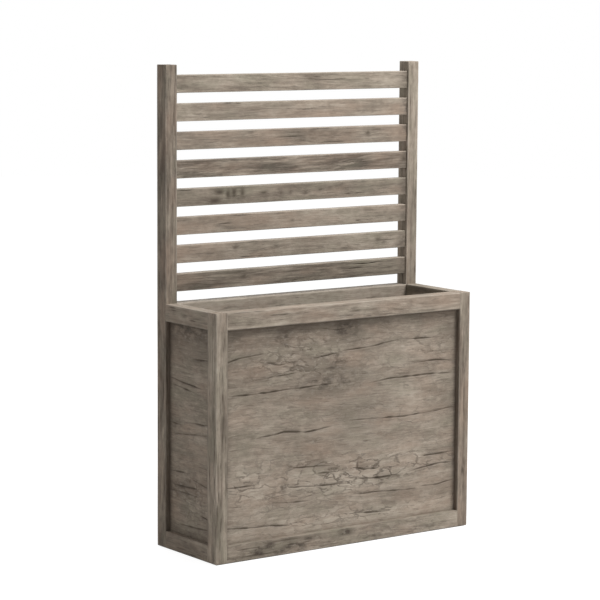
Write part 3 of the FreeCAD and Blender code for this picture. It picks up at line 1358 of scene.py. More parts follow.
@dataclass
class TroughFrame:
    """The posts, rails and panels of the trough."""

    bite: float = 0.002
    pad_margin: float = 0.001
    stem_clearance: float = 0.0001
    stem_room: float = 0.002
    post_slope: float = 0.008
    post_step: float = 0.0024
    panel_flake: float = 0.32
    panel_ease: float = 0.001
    panel_step: float = 0.0017
    panel_step_hidden: float = 0.008

    FRONT_CHECKS = (
        Crack(((0.00, 0.318), (0.25, 0.312), (0.50, 0.306)), 0.0062, 0.0030),
        Crack(((0.61, 0.322), (0.72, 0.313), (0.86, 0.312), (1.00, 0.318)), 0.0062, 0.0030),
        Crack(((0.49, 0.158), (0.60, 0.155), (0.69, 0.139), (0.78, 0.136), (0.93, 0.142)), 0.0052, 0.0028),
        Crack(((0.00, 0.168), (0.07, 0.146), (0.17, 0.135)), 0.0052, 0.0026),
        Crack(((0.17, 0.176), (0.23, 0.196), (0.30, 0.184)), 0.0040, 0.0020),
        Crack(((0.35, 0.186), (0.45, 0.170), (0.50, 0.160)), 0.0038, 0.0018),
        Crack(((0.12, 0.255), (0.24, 0.243), (0.36, 0.232)), 0.0046, 0.0022),
        Crack(((0.79, 0.252), (0.90, 0.246), (1.00, 0.260)), 0.0048, 0.0024),
        Crack(((0.40, 0.045), (0.47, 0.060), (0.54, 0.050)), 0.0042, 0.0020),
        Crack(((0.52, 0.490), (0.62, 0.494), (0.76, 0.500), (0.90, 0.492), (1.00, 0.482)), 0.0052, 0.0026),
        Crack(((0.13, 0.522), (0.25, 0.505), (0.34, 0.518), (0.45, 0.505)), 0.0054, 0.0028),
        Crack(((0.28, 0.678), (0.37, 0.684), (0.46, 0.690)), 0.0048, 0.0024),
        Crack(((0.55, 0.712), (0.59, 0.728), (0.66, 0.730)), 0.0062, 0.0030),
        Crack(((0.39, 0.716), (0.47, 0.720)), 0.0052, 0.0026),
        Crack(((0.50, 0.755), (0.58, 0.772), (0.68, 0.778), (0.76, 0.776)), 0.0058, 0.0028),
        Crack(((0.78, 0.770), (0.84, 0.758), (0.92, 0.748), (0.99, 0.752)), 0.0056, 0.0028),
        Crack(((0.84, 0.700), (0.91, 0.704), (0.99, 0.696)), 0.0056, 0.0028),
        Crack(((0.00, 0.730), (0.07, 0.734), (0.14, 0.736)), 0.0052, 0.0026),
        Crack(((0.27, 0.766), (0.36, 0.774), (0.45, 0.780), (0.50, 0.770)), 0.0058, 0.0028),
        Crack(((0.52, 0.836), (0.62, 0.842), (0.74, 0.852), (0.82, 0.856)), 0.0054, 0.0028),
        Crack(((0.83, 0.850), (0.92, 0.848), (0.99, 0.838)), 0.0048, 0.0024),
        Crack(((0.20, 0.826), (0.28, 0.836), (0.36, 0.838)), 0.0042, 0.0020),
        Crack(((0.00, 0.912), (0.12, 0.926), (0.20, 0.930), (0.31, 0.950)), 0.0052, 0.0026),
        Crack(((0.54, 0.926), (0.62, 0.938), (0.69, 0.944)), 0.0052, 0.0026),
    )
    FRONT_STAINS_AND_SHADE = (
        Patch(0.25, 0.06, 0.030, 0.030, 1.00),
        Patch(0.50, 0.06, 0.050, 0.034, 1.20),
        Patch(0.45, 0.24, 0.055, 0.035, 0.90),
        Patch(0.33, 0.20, 0.060, 0.022, 0.50),
        Patch(0.44, 0.30, 0.130, 0.040, 0.95),
        Patch(0.56, 0.46, 0.130, 0.080, 0.40),
        Patch(0.05, 0.05, 0.050, 0.025, 0.55),
        # Painted shadow along the top of the panel, under the front top rail.
        Patch(0.40, 0.01, 0.300, 0.016, 0.60),
        Patch(0.95, 0.10, 0.030, 0.040, 0.45),
        Patch(0.25, 0.76, 0.010, 0.022, 0.80),
        Patch(0.27, 0.67, 0.010, 0.014, 0.75),
    )
    FRONT_LIGHTS = (
        Patch(0.80, 0.64, 0.220, 0.160, 0.70),
        Patch(0.26, 0.50, 0.220, 0.070, 0.50),
        Patch(0.40, 0.85, 0.400, 0.070, 0.70),
        Patch(0.08, 0.71, 0.160, 0.050, 1.70),
        Patch(0.59, 0.76, 0.210, 0.055, 1.50),
        Patch(0.45, 0.96, 0.600, 0.040, 1.80),
        Patch(0.30, 0.12, 0.050, 0.030, 0.40),
    )
    FRONT_FLAKES = (
        Patch(0.55, 0.74, 0.420, 0.075, 1.00),
        Patch(0.12, 0.74, 0.180, 0.090, 0.80),
        Patch(0.33, 0.17, 0.220, 0.090, 0.85),
        Patch(0.85, 0.18, 0.160, 0.070, 0.60),
        Patch(0.50, 0.93, 0.450, 0.030, 0.70),
    )
    LEFT_CHECKS = (
        Crack(((0.00, 0.155), (0.24, 0.162), (0.47, 0.165)), 0.0048, 0.0024),
        Crack(((0.26, 0.293), (0.60, 0.285), (0.96, 0.270)), 0.0060, 0.0030),
        Crack(((0.34, 0.322), (0.62, 0.310), (0.90, 0.300)), 0.0042, 0.0022),
        Crack(((0.05, 0.450), (0.30, 0.457), (0.57, 0.460)), 0.0046, 0.0022),
        Crack(((0.68, 0.475), (0.82, 0.478), (0.94, 0.475)), 0.0042, 0.0020),
        Crack(((0.00, 0.495), (0.50, 0.512), (1.00, 0.530)), 0.0034, 0.0016),
        Crack(((0.50, 0.690), (0.75, 0.697), (0.96, 0.700)), 0.0060, 0.0030),
        Crack(((0.05, 0.740), (0.26, 0.728), (0.47, 0.715)), 0.0054, 0.0026),
        Crack(((0.31, 0.755), (0.60, 0.760), (0.91, 0.762)), 0.0060, 0.0030),
        Crack(((0.30, 0.790), (0.62, 0.788), (0.95, 0.790)), 0.0048, 0.0024),
        Crack(((0.03, 0.890), (0.16, 0.880), (0.29, 0.873)), 0.0054, 0.0026),
        Crack(((0.05, 0.930), (0.45, 0.937), (0.83, 0.940)), 0.0062, 0.0030),
    )
    LEFT_STAINS_AND_SHADE = (
        Patch(0.15, 0.08, 0.030, 0.025, 0.80),
        Patch(0.45, 0.06, 0.080, 0.040, 0.55),
        # Painted shadow across the top of the panel under the left top rail, fading downwards.
        Patch(0.50, 0.00, 0.250, 0.075, 1.10),
        Patch(0.20, 0.13, 0.050, 0.012, 0.55),
        Patch(0.50, 0.97, 0.120, 0.018, 0.60),
    )
    SILL_STAINS = (
        Patch(0.13, 0.60, 0.022, 0.016, 1.5),
        Patch(0.17, 0.35, 0.020, 0.012, 1.3),
        Patch(0.21, 0.75, 0.030, 0.010, 1.4),
        Patch(0.28, 0.55, 0.050, 0.010, 1.3),
        Patch(0.34, 0.28, 0.030, 0.008, 1.1),
        Patch(0.50, 0.25, 0.022, 0.009, 1.4),
        Patch(0.62, 0.75, 0.050, 0.007, 0.9),
        Patch(0.86, 0.65, 0.040, 0.007, 0.8),
    )
    TINTS = {
        "front_top_rail": Tint((0.20, 0.45), (0.2, 0.6), 1.0),
        "front_bottom_rail": Tint((0.10, 0.78), (-0.5, 0.0), 0.8),
        "left_top_rail": Tint((-0.15, -0.15), (0.3, 0.3), 0.6),
        "left_bottom_rail": Tint((-0.3, -0.3), (0.2, 0.2), 0.7),
        # The back top rail is lightened far past its neighbours: partly its own lighter colour, partly
        # painted light that makes up for the shade inside the trough.
        "back_top_rail": Tint((1.45, 1.45), (-0.5, 0.1), 0.4),
        "front_left_post": Tint((-0.05, 0.05), (-0.2, -0.1), 1.0),
        "front_right_post": Tint((-0.10, 0.05), (0.4, 0.5), 0.8),
        "back_left_post": Tint((-0.85, -1.05), (0.2, 0.2), 1.0),
        "back_right_post": Tint((0.15, 0.40), (0.2, -0.3), 0.8),
        "front_panel": Tint((-0.08, 0.12), (0.0, 0.2), 0.40),
        "left_panel": Tint((-0.20, -0.20), (0.1, 0.1), 0.35),
    }

    TWIN_TINT = Tint((-0.1, 0.1), (0.0, 0.2), 0.4)
    # Painted light on the rails' top faces, less on the bottom rails; the back rail's negative value paints
    # shade on its top.
    TOP_LIGHT = {Wall.FRONT: 0.30, Wall.BACK: -0.75, Wall.LEFT: 0.50, Wall.RIGHT: 0.35}
    LOW_TOP_LIGHT = 0.2
    LOW_WEARLIGHT = 0.35
    SILL_FLAKE = 0.45
    POST_CHECKS = {
        "front_left_post": (
            Crack(((0.44, 0.50), (0.55, 0.42), (0.63, 0.36), (0.72, 0.52)), 0.0040, 0.0024),
            Crack(((0.05, 0.62), (0.18, 0.58), (0.30, 0.64)), 0.0032, 0.0018),
            Crack(((0.80, 0.30), (0.95, 0.34)), 0.0030, 0.0016),
        ),
        "front_right_post": (
            Crack(((0.10, 0.40), (0.30, 0.46), (0.52, 0.40)), 0.0032, 0.0020),
            Crack(((0.60, 0.55), (0.82, 0.62)), 0.0030, 0.0018),
        ),
    }
    POST_KNOTS = {
        "front_right_post": (Patch(0.24, 0.50, 0.014, 0.007, 0.95), Patch(0.27, 0.35, 0.020, 0.004, 0.60)),
    }
    POST_LIGHTS = {"back_left_post": (Patch(0.58, 0.50, 0.190, 0.060, 0.65),)}
    END_FLAKES = (Patch(0.5, 0.8, 0.15, 0.12, 0.7),)
    SHORT_CHECKING = Checking(7, 0.30, (0.0016, 0.0030))
    TALL_CHECKING = Checking(14, 0.15, (0.0016, 0.0030))
    POST_CHECKING = {
        Corner.FRONT_LEFT: SHORT_CHECKING,
        Corner.FRONT_RIGHT: SHORT_CHECKING,
        Corner.BACK_LEFT: TALL_CHECKING,
        Corner.BACK_RIGHT: TALL_CHECKING,
    }
    RAIL_CHECKING = Checking(5, 0.22, (0.0018, 0.0032))
    WIDE_CHECKING = Checking(24, 0.4, (0.0036, 0.0062))
    NARROW_CHECKING = Checking(24, 0.7, (0.0036, 0.0062))
    INNER_CHECKING = Checking(9, 0.3, (0.0024, 0.0040))
    RAIL_STREAKS = (10, 0.5)
    PANEL_STREAKS = (24, 0.6)
    POST_SEEDS = Seeds(100, 11, 60)
    RAIL_SEEDS = Seeds(200, 13, 80)
    PANEL_SEEDS = Seeds(300, 17, 40)

    def boards(self) -> list[Board]:
        """Every board of the trough, taken from the frame's own nodes."""
        return self._posts() + self._rails() + self._panels()

    def _posts(self) -> list[Board]:
        """The four corner posts, with fine checks on all sides.

        Returns:
            The boards.
        """
        boards = []
        for number, corner in enumerate(Corner):
            node = f"{corner.value}_post"
            strewn = self.POST_SEEDS.arrangement(number)
            checks = {place: strewn.cracks(self.POST_CHECKING[corner]) for place in Side}
            checks[Side.BOTTOM] += self.POST_CHECKS.get(node, ())
            boards.append(
                Board(
                    node,
                    *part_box(node),
                    Axis.Z,
                    self.POST_SEEDS.board(number),
                    self.TINTS[node],
                    face=Side.BOTTOM,
                    checks=checks,
                    knots=self.POST_KNOTS.get(node, ()),
                    lights=self.POST_LIGHTS.get(node, ()),
                    slope=self.post_slope,
                    step_across=self.post_step,
                    bore=self._bore(corner),
                )
            )
        return boards

    def _bore(self, corner: Corner) -> tuple[Point, ...]:
        """The stepped bore for a levelling foot.

        Args:
            corner: Which post.

        Returns:
            Radii and depths from the post's lower end up.
        """
        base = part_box(f"{corner.value}_post")[0].z
        pad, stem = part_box(f"foot_pad_{corner.value}"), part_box(f"foot_stem_{corner.value}")
        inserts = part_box("foot_inserts")
        axis = abs(stem[0].x + stem[1].x) / 2
        recess = (pad[1].x - pad[0].x) / 2 + self.pad_margin
        insert = inserts[1].x - axis
        hole = (stem[1].x - stem[0].x) / 2 + self.stem_clearance
        ceiling, top, end = inserts[0].z - base, inserts[1].z - base, stem[1].z + self.stem_room - base
        return (recess, 0.0), (recess, ceiling), (insert, ceiling), (insert, top), (hole, top), (hole, end)

    def _rails(self) -> list[Board]:
        """The eight rails."""
        places = [(wall, level) for wall in Wall for level in Level]
        return [self._rail(number, *place) for number, place in enumerate(places)]

    def _rail(self, number: int, wall: Wall, level: Level) -> Board:
        """A rail, cut back from its tenons to just inside the posts.

        Args:
            number: Which rail.
            wall: The wall that it is in.
            level: Whether it is the top or the bottom one.

        Returns:
            The board.
        """
        node = f"{wall.value}_{level.value}_rail"
        low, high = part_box(node)
        run = wall.run.value
        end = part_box("back_right_post")[0][run] + self.bite
        low[run], high[run] = -end, end
        top = level is Level.TOP
        if top:
            self._deepen(wall, low, high)
        strewn = self.RAIL_SEEDS.arrangement(number)
        sill = node == "front_bottom_rail"
        outer, _ = wall.faces
        return Board(
            node,
            low,
            high,
            wall.run,
            self.RAIL_SEEDS.board(number),
            self.TINTS.get(node, Tint()),
            face=outer,
            checks={outer: strewn.cracks(self.RAIL_CHECKING)},
            stains_and_shade=self.SILL_STAINS if sill else strewn.streaks(*self.RAIL_STREAKS),
            flake=self.SILL_FLAKE if sill else Board.flake,
            top_light=self.TOP_LIGHT[wall] if top else self.LOW_TOP_LIGHT,
            wear=Board.wear if top else self.LOW_WEARLIGHT,
        )

    @staticmethod
    def _deepen(wall: Wall, low: Vector, high: Vector) -> None:
        """Brings a top rail's inner face flush with the posts', so that the rim is as deep as they are.

        Args:
            wall: The wall that the rail is in.
            low: The rail's low corner, which is moved on the back and the right.
            high: The rail's high corner, which is moved on the front and the left.
        """
        axis = wall.through.value
        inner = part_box("back_right_post")[0][axis]
        if wall in (Wall.FRONT, Wall.LEFT):
            high[axis] = -inner
        else:
            low[axis] = inner

    def _panels(self) -> list[Board]:
        """The four panels."""
        return [self._panel(number, wall) for number, wall in enumerate(Wall)]

    def _panel(self, number: int, wall: Wall) -> Board:
        """A panel: front and left have listed checks, and their twins are strewn.

        Args:
            number: Which panel.
            wall: The wall that it is in.

        Returns:
            The board.
        """
        node = f"{wall.value}_panel"
        outer, inner = wall.faces
        wide = wall.run is Axis.X
        strewn = self.PANEL_SEEDS.arrangement(number)
        checks = {Wall.FRONT: self.FRONT_CHECKS, Wall.LEFT: self.LEFT_CHECKS}.get(wall)
        stains_and_shade = {Wall.FRONT: self.FRONT_STAINS_AND_SHADE, Wall.LEFT: self.LEFT_STAINS_AND_SHADE}.get(wall)
        return Board(
            node,
            *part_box(node),
            wall.run,
            self.PANEL_SEEDS.board(number),
            self.TINTS.get(node, self.TWIN_TINT),
            face=outer,
            checks={
                outer: checks or strewn.cracks(self.WIDE_CHECKING if wide else self.NARROW_CHECKING),
                inner: strewn.cracks(self.INNER_CHECKING),
            },
            stains_and_shade=stains_and_shade or strewn.streaks(*self.PANEL_STREAKS),
            lights=self.FRONT_LIGHTS if wall is Wall.FRONT else (),
            flakes=self.FRONT_FLAKES if wide else self.END_FLAKES,
            flake=self.panel_flake,
            ease=self.panel_ease,
            wear=0.0,
            step_across=self.panel_step,
            step_hidden=self.panel_step_hidden,
        )


@dataclass
class Screen:
    """The level slats between the back posts."""

    bite: float = 0.002
    # Painted light on the slats' top faces.
    top_light: float = 0.3
    step_along: float = 0.004
    step_across: float = 0.0014
    slope: float = 0.025

    TINTS = (
        Tint((0.10, 0.35), (-0.5, -0.3), 0.8),
        Tint((0.10, 0.35), (-0.2, 0.9), 0.7),
        Tint((-0.40, -0.10), (0.0, 0.9), 0.8),
        Tint((-1.00, -0.70), (0.1, 0.2), 1.9),
        Tint((-0.60, -0.10), (-0.9, 0.0), 0.7),
        Tint((0.20, 0.50), (1.0, 0.1), 0.5),
        Tint((0.25, 0.50), (1.0, -0.7), 0.6),
        Tint((-0.75, -0.05), (0.0, -0.6), 1.1),
    )
    KNOTS = {
        1: (Patch(0.56, 0.35, 0.030, 0.004, 0.5),),
        3: (Patch(0.82, 0.42, 0.010, 0.006, 0.8), Patch(0.86, 0.25, 0.030, 0.003, 0.6)),
        4: (Patch(0.985, 0.45, 0.008, 0.006, 0.8),),
        5: (
            Patch(0.160, 0.76, 0.021, 0.010, 1.0),
            Patch(0.180, 0.30, 0.016, 0.009, 1.0),
            Patch(0.215, 0.45, 0.009, 0.014, 1.0),
            Patch(0.240, 0.35, 0.008, 0.014, 1.0),
            Patch(0.275, 0.40, 0.008, 0.013, 0.9),
            Patch(0.365, 0.45, 0.015, 0.006, 0.9),
            Patch(0.440, 0.50, 0.007, 0.006, 0.6),
            Patch(0.480, 0.50, 0.006, 0.008, 0.6),
            Patch(0.545, 0.55, 0.008, 0.007, 0.6),
            Patch(0.610, 0.45, 0.007, 0.005, 0.5),
        ),
        6: (Patch(0.49, 0.55, 0.010, 0.004, 0.6),),
        7: (
            Patch(0.245, 0.30, 0.010, 0.006, 0.7),
            Patch(0.420, 0.40, 0.012, 0.006, 0.7),
            Patch(0.870, 0.42, 0.014, 0.008, 0.7),
            Patch(0.900, 0.60, 0.008, 0.005, 0.6),
        ),
        8: (Patch(0.28, 0.45, 0.014, 0.005, 0.7),),
    }
    # A painted shadow that the right post casts across the right end of each slat.
    END_SHADOW = Patch(0.995, 0.5, 0.026, 0.060, 0.85)
    STREAKS = {
        1: (26, 0.7),
        2: (16, 0.6),
        3: (22, 0.7),
        4: (60, 1.0),
        5: (24, 0.6),
        6: (10, 0.5),
        7: (16, 0.5),
        8: (70, 1.0),
    }

    CHECKING = Checking(3, 0.16, (0.0016, 0.0028))
    SLOPES = {4: 0.05}
    SEEDS = Seeds(400, 19, 20)

    def boards(self) -> list[Board]:
        """The slats.

        Returns:
            The boards, from the top.
        """
        inner_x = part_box("back_right_post")[0].x + self.bite
        boards = []
        for number, tint in enumerate(self.TINTS, start=1):
            node = f"screen_slat_{number}"
            low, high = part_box(node)
            low.x, high.x = -inner_x, inner_x
            strewn = self.SEEDS.arrangement(number)
            boards.append(
                Board(
                    node,
                    low,
                    high,
                    Axis.X,
                    self.SEEDS.board(number),
                    tint,
                    checks={place: strewn.cracks(self.CHECKING) for place in (Side.LOW, Side.HIGH)},
                    knots=self.KNOTS.get(number, ()),
                    stains_and_shade=(*strewn.streaks(*self.STREAKS[number]), self.END_SHADOW),
                    top_light=self.top_light,
                    step_along=self.step_along,
                    step_across=self.step_across,
                    slope=self.SLOPES.get(number, self.slope),
                )
            )
        return boards


@dataclass
class SlattedFloor:
    """The floor slats and the ledgers that they rest on."""

    count: int = 8
    ease: float = 0.0012
    step_across: float = 0.003

    CHECKING = Checking(3, 0.5, (0.0016, 0.0030))
    SLAT_SEEDS = Seeds(500, 23)
    LEDGER_SEEDS = Seeds(600, 29)
    TINT_SEEDS = Seeds(700, 1)
    TONES = (-0.4, 0.4)
    HUES = (-0.6, 0.6)

    def boards(self) -> list[Board]:
        """The slats and the ledgers.

        Returns:
            The boards.
        """
        boards = []
        for number in range(1, self.count + 1):
            rng = np.random.default_rng(self.TINT_SEEDS.board(number))
            tint = Tint(tuple(rng.uniform(*self.TONES, 2)), tuple(rng.uniform(*self.HUES, 2)))
            boards.append(self._plain(f"floor_slat_{number}", Axis.Y, self.SLAT_SEEDS.board(number), tint))
        for number, wall in enumerate((Wall.FRONT, Wall.BACK)):
            seed = self.LEDGER_SEEDS.board(number)
            boards.append(self._plain(f"floor_ledger_{wall.value}", wall.run, seed, Tint()))
        return boards

    def _plain(self, node: str, grain: Axis, seed: int, tint: Tint) -> Board:
        """A nearly square-edged board for the inside.

        Args:
            node: The board's node.
            grain: The way of its grain.
            seed: Its seed.
            tint: How it differs from its neighbours.

        Returns:
            The board.
        """
        return Board(
            node,
            *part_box(node),
            grain,
            seed,
            tint,
            face=Side.TOP,
            checks={Side.TOP: Strewn(seed).cracks(self.CHECKING)},
            ease=self.ease,
            step_across=self.step_across,
        )


@dataclass(frozen=True)
class Turning:
    """A round piece: a profile turned about an upright axis."""

    name: str
    profile: tuple[Point, ...]
    x: float
    y: float
    segments: int = 48
    thread_pitch: float = 0.0
    thread_depth: float = 0.0

    LEAST_RADIUS: ClassVar[float] = 1e-5

    def build(self, material: bpy.types.Material, slot: str, body: str, node: str) -> bpy.types.Object:
        """Builds the piece in place of its node.

        Args:
            material: Its material.
            slot: The record's material slot; not used.
            body: The body that it rides on.
            node: The node that it replaces.

        Returns:
            The new object.
        """
        verts: list[tuple[float, float, float]] = []
        for radius, height in self.profile:
            for turn in np.linspace(0, 2 * math.pi, self.segments, endpoint=False):
                out = max(radius - (self._groove(height, turn) if radius > 0 else 0.0), self.LEAST_RADIUS)
                verts.append((self.x + out * math.cos(turn), self.y + out * math.sin(turn), height))
        mesh = bpy.data.meshes.new(self.name)
        mesh.from_pydata(verts, [], self._faces())
        mesh.polygons.foreach_set("use_smooth", [True] * len(mesh.polygons))
        return put(mesh, material, body, node)

    def _faces(self) -> list[tuple[int, ...]]:
        """The faces between the profile's rings, and a cap at each end.

        Returns:
            The faces.
        """
        faces: list[tuple[int, ...]] = []
        for row in range(len(self.profile) - 1):
            for step in range(self.segments):
                a, b = row * self.segments + step, row * self.segments + (step + 1) % self.segments
                faces.append((a, b, b + self.segments, a + self.segments))
        last = (len(self.profile) - 1) * self.segments
        faces.append(tuple(reversed(range(self.segments))))
        faces.append(tuple(range(last, last + self.segments)))
        return faces

    def _groove(self, height: float, turn: float) -> float:
        """Depth of the thread's groove at a point.

        Args:
            height: The point's height.
            turn: Its angle about the axis.

        Returns:
            The depth, or 0 on a plain piece.
        """
        if not self.thread_pitch:
            return 0.0
        phase = height / self.thread_pitch * 2 * math.pi - turn
        return self.thread_depth * (0.5 + 0.5 * math.cos(phase))


@dataclass
class LevellingFeet:
    """Four nylon pads on threaded steel stems, and the inserts that they wind into."""

    pitch: float = 0.0010
    thread_depth: float = 0.0005
    rings_in_pitch: int = 6
    stem_segments: int = 32
    stem_tip: float = 0.8
    round_over: float = 0.0013
    tread: float = 0.0005
    pad_crown: float = 0.3

    TREAD_HUB: ClassVar[float] = 0.18
    TREAD_RINGS: ClassVar[tuple[Point, ...]] = ((0.22, 0.36), (0.42, 0.56), (0.62, 0.76))
    TREAD_GROOVES: ClassVar[tuple[Point, ...]] = ((0.37, 0.41), (0.57, 0.61), (0.77, 0.81))
    TREAD_EDGE: ClassVar[float] = 0.82

    def build(
        self, zinc: bpy.types.Material, nylon: bpy.types.Material, nodes: dict[str, bpy.types.Object]
    ) -> list[bpy.types.Object]:
        """Builds all of them.

        Args:
            zinc: The stems' and inserts' material.
            nylon: The pads' material.
            nodes: The frame's objects by node name.

        Returns:
            The pads, the stems and the inserts.
        """
        pieces = []
        for corner in Corner:
            pieces += [self._pad(corner, nylon), self._stem(corner, zinc)]
        inserts = nodes["foot_inserts"]
        inserts.data.materials.clear()
        inserts.data.materials.append(zinc)
        return [*pieces, inserts]

    def _pad(self, corner: Corner, material: bpy.types.Material) -> bpy.types.Object:
        """A pad with rounded edges and a ringed tread.

        Args:
            corner: Which foot.
            material: Its material.

        Returns:
            The new object.
        """
        node = f"foot_pad_{corner.value}"
        low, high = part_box(node)
        radius, edge = (high.x - low.x) / 2, self.round_over
        inner, turns = radius - edge, np.radians((30, 60, 90))
        lower = [(inner + edge * math.sin(t), low.z + edge * (1 - math.cos(t))) for t in turns]
        upper = [(inner + edge * math.cos(t), high.z - edge * (1 - math.sin(t))) for t in (0.0, *turns)]
        crown = ((self.pad_crown * radius, high.z), (0.0, high.z))
        profile = (*self._tread(radius, low.z), (inner, low.z), *lower, *upper, *crown)
        middle = (low + high) / 2
        turning = Turning(f"{node}_moulding", profile, middle.x, middle.y)
        return turning.build(material, NYLON.slot, f"foot_{corner.value}", node)

    def _tread(self, radius: float, base: float) -> list[Point]:
        """The profile under a pad: a sunk hub, then rings with grooves between them.

        Args:
            radius: The pad's radius.
            base: The height that it stands on.

        Returns:
            Radii and heights from the middle out.
        """
        sunk = base + self.tread
        under = [(0.0, sunk), (self.TREAD_HUB * radius, sunk)]
        for ring, groove in zip(self.TREAD_RINGS, self.TREAD_GROOVES):
            under += [(share * radius, base) for share in ring]
            under += [(share * radius, sunk) for share in groove]
        return [*under, (self.TREAD_EDGE * radius, base)]

    def _stem(self, corner: Corner, material: bpy.types.Material) -> bpy.types.Object:
        """A stem with a real thread round it.

        Args:
            corner: Which foot.
            material: Its material.

        Returns:
            The new object.
        """
        node = f"foot_stem_{corner.value}"
        low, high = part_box(node)
        radius = (high.x - low.x) / 2
        heights = np.arange(low.z, high.z, self.pitch / self.rings_in_pitch)
        tip = ((self.stem_tip * radius, high.z), (0.0, high.z))
        profile = ((0.0, low.z), *((radius, float(z)) for z in heights), *tip)
        middle = (low + high) / 2
        thread = (self.stem_segments, self.pitch, self.thread_depth)
        turning = Turning(f"{node}_thread", profile, middle.x, middle.y, *thread)
        return turning.build(material, ZINC.slot, f"foot_{corner.value}", node)


@dataclass
class FloorScrews:
    """Countersunk screw heads with cross recesses, two at each end of a floor slat."""

    slats: int = 8
    radius: float = 0.0042
    arm: float = 0.0023
    half_arm: float = 0.0006
    taper: float = 0.7
    proud: float = 0.0001
    depth: float = 0.0016
    inset: float = 0.010
    spread: float = 0.26
    segments: int = 24

    SEED: ClassVar[int] = 90

    def build(self, material: bpy.types.Material) -> bpy.types.Object:
        """Builds all the heads as one piece.

        Args:
            material: Their material.

        Returns:
            The new object.
        """
        verts: list[tuple[float, ...]] = []
        faces: list[tuple[int, ...]] = []
        rng = np.random.default_rng(self.SEED)
        for number in range(1, self.slats + 1):
            low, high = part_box(f"floor_slat_{number}")
            middle, width = (low.x + high.x) / 2, high.x - low.x
            for x in (middle - self.spread * width, middle + self.spread * width):
                for y in (low.y + self.inset, high.y - self.inset):
                    self._head(Vector((x, y, high.z)), rng.uniform(0, math.pi), verts, faces)
        mesh = bpy.data.meshes.new("floor_screws")
        mesh.from_pydata(verts, [], faces)
        return put(mesh, material, Board.BODY)

    def _cross(self) -> list[Point]:
        """Draws a cross recess.

        Returns:
            Its outline.
        """
        a, h = self.arm, self.half_arm
        half = [(a, -h), (a, h), (h, h), (h, a), (-h, a), (-h, h)]
        return half + [(-x, -y) for x, y in half]

    def _head(
        self, centre: Vector, turn: float, verts: list[tuple[float, ...]], faces: list[tuple[int, ...]]
    ) -> None:
        """Adds one head: a rim, a flat with a cross cut into it, and the cross's walls and floor.

        Args:
            centre: The middle of the head, on the slat's face.
            turn: How far the cross is turned.
            verts: The points so far, which the head's are added to.
            faces: The faces so far, which the head's are added to.
        """
        spin = Matrix.Rotation(turn, 3, "Z")
        cross = self._cross()
        angles = np.linspace(0, 2 * math.pi, self.segments, endpoint=False)
        rim = [(self.radius * math.cos(t), self.radius * math.sin(t)) for t in angles]
        start = len(verts)
        flat = [Vector((x, y, self.proud)) for x, y in rim + cross]
        sunk = [Vector((self.taper * x, self.taper * y, -self.depth)) for x, y in cross]
        skirt = [Vector((x, y, -self.depth)) for x, y in rim]
        verts.extend(tuple(centre + spin @ spot) for spot in flat + sunk + skirt)
        holed = tessellate_polygon([flat[: len(rim)], flat[len(rim) :]])
        faces.extend(tuple(start + corner for corner in face) for face in holed)
        first, second, third = start + len(rim), start + len(flat), start + len(flat) + len(sunk)
        for step in range(len(cross)):
            after = (step + 1) % len(cross)
            faces.append((first + step, second + step, second + after, first + after))
        faces.append(tuple(range(second, second + len(cross))))
        for step in range(len(rim)):
            after = (step + 1) % len(rim)
            faces.append((start + after, start + step, third + step, third + after))


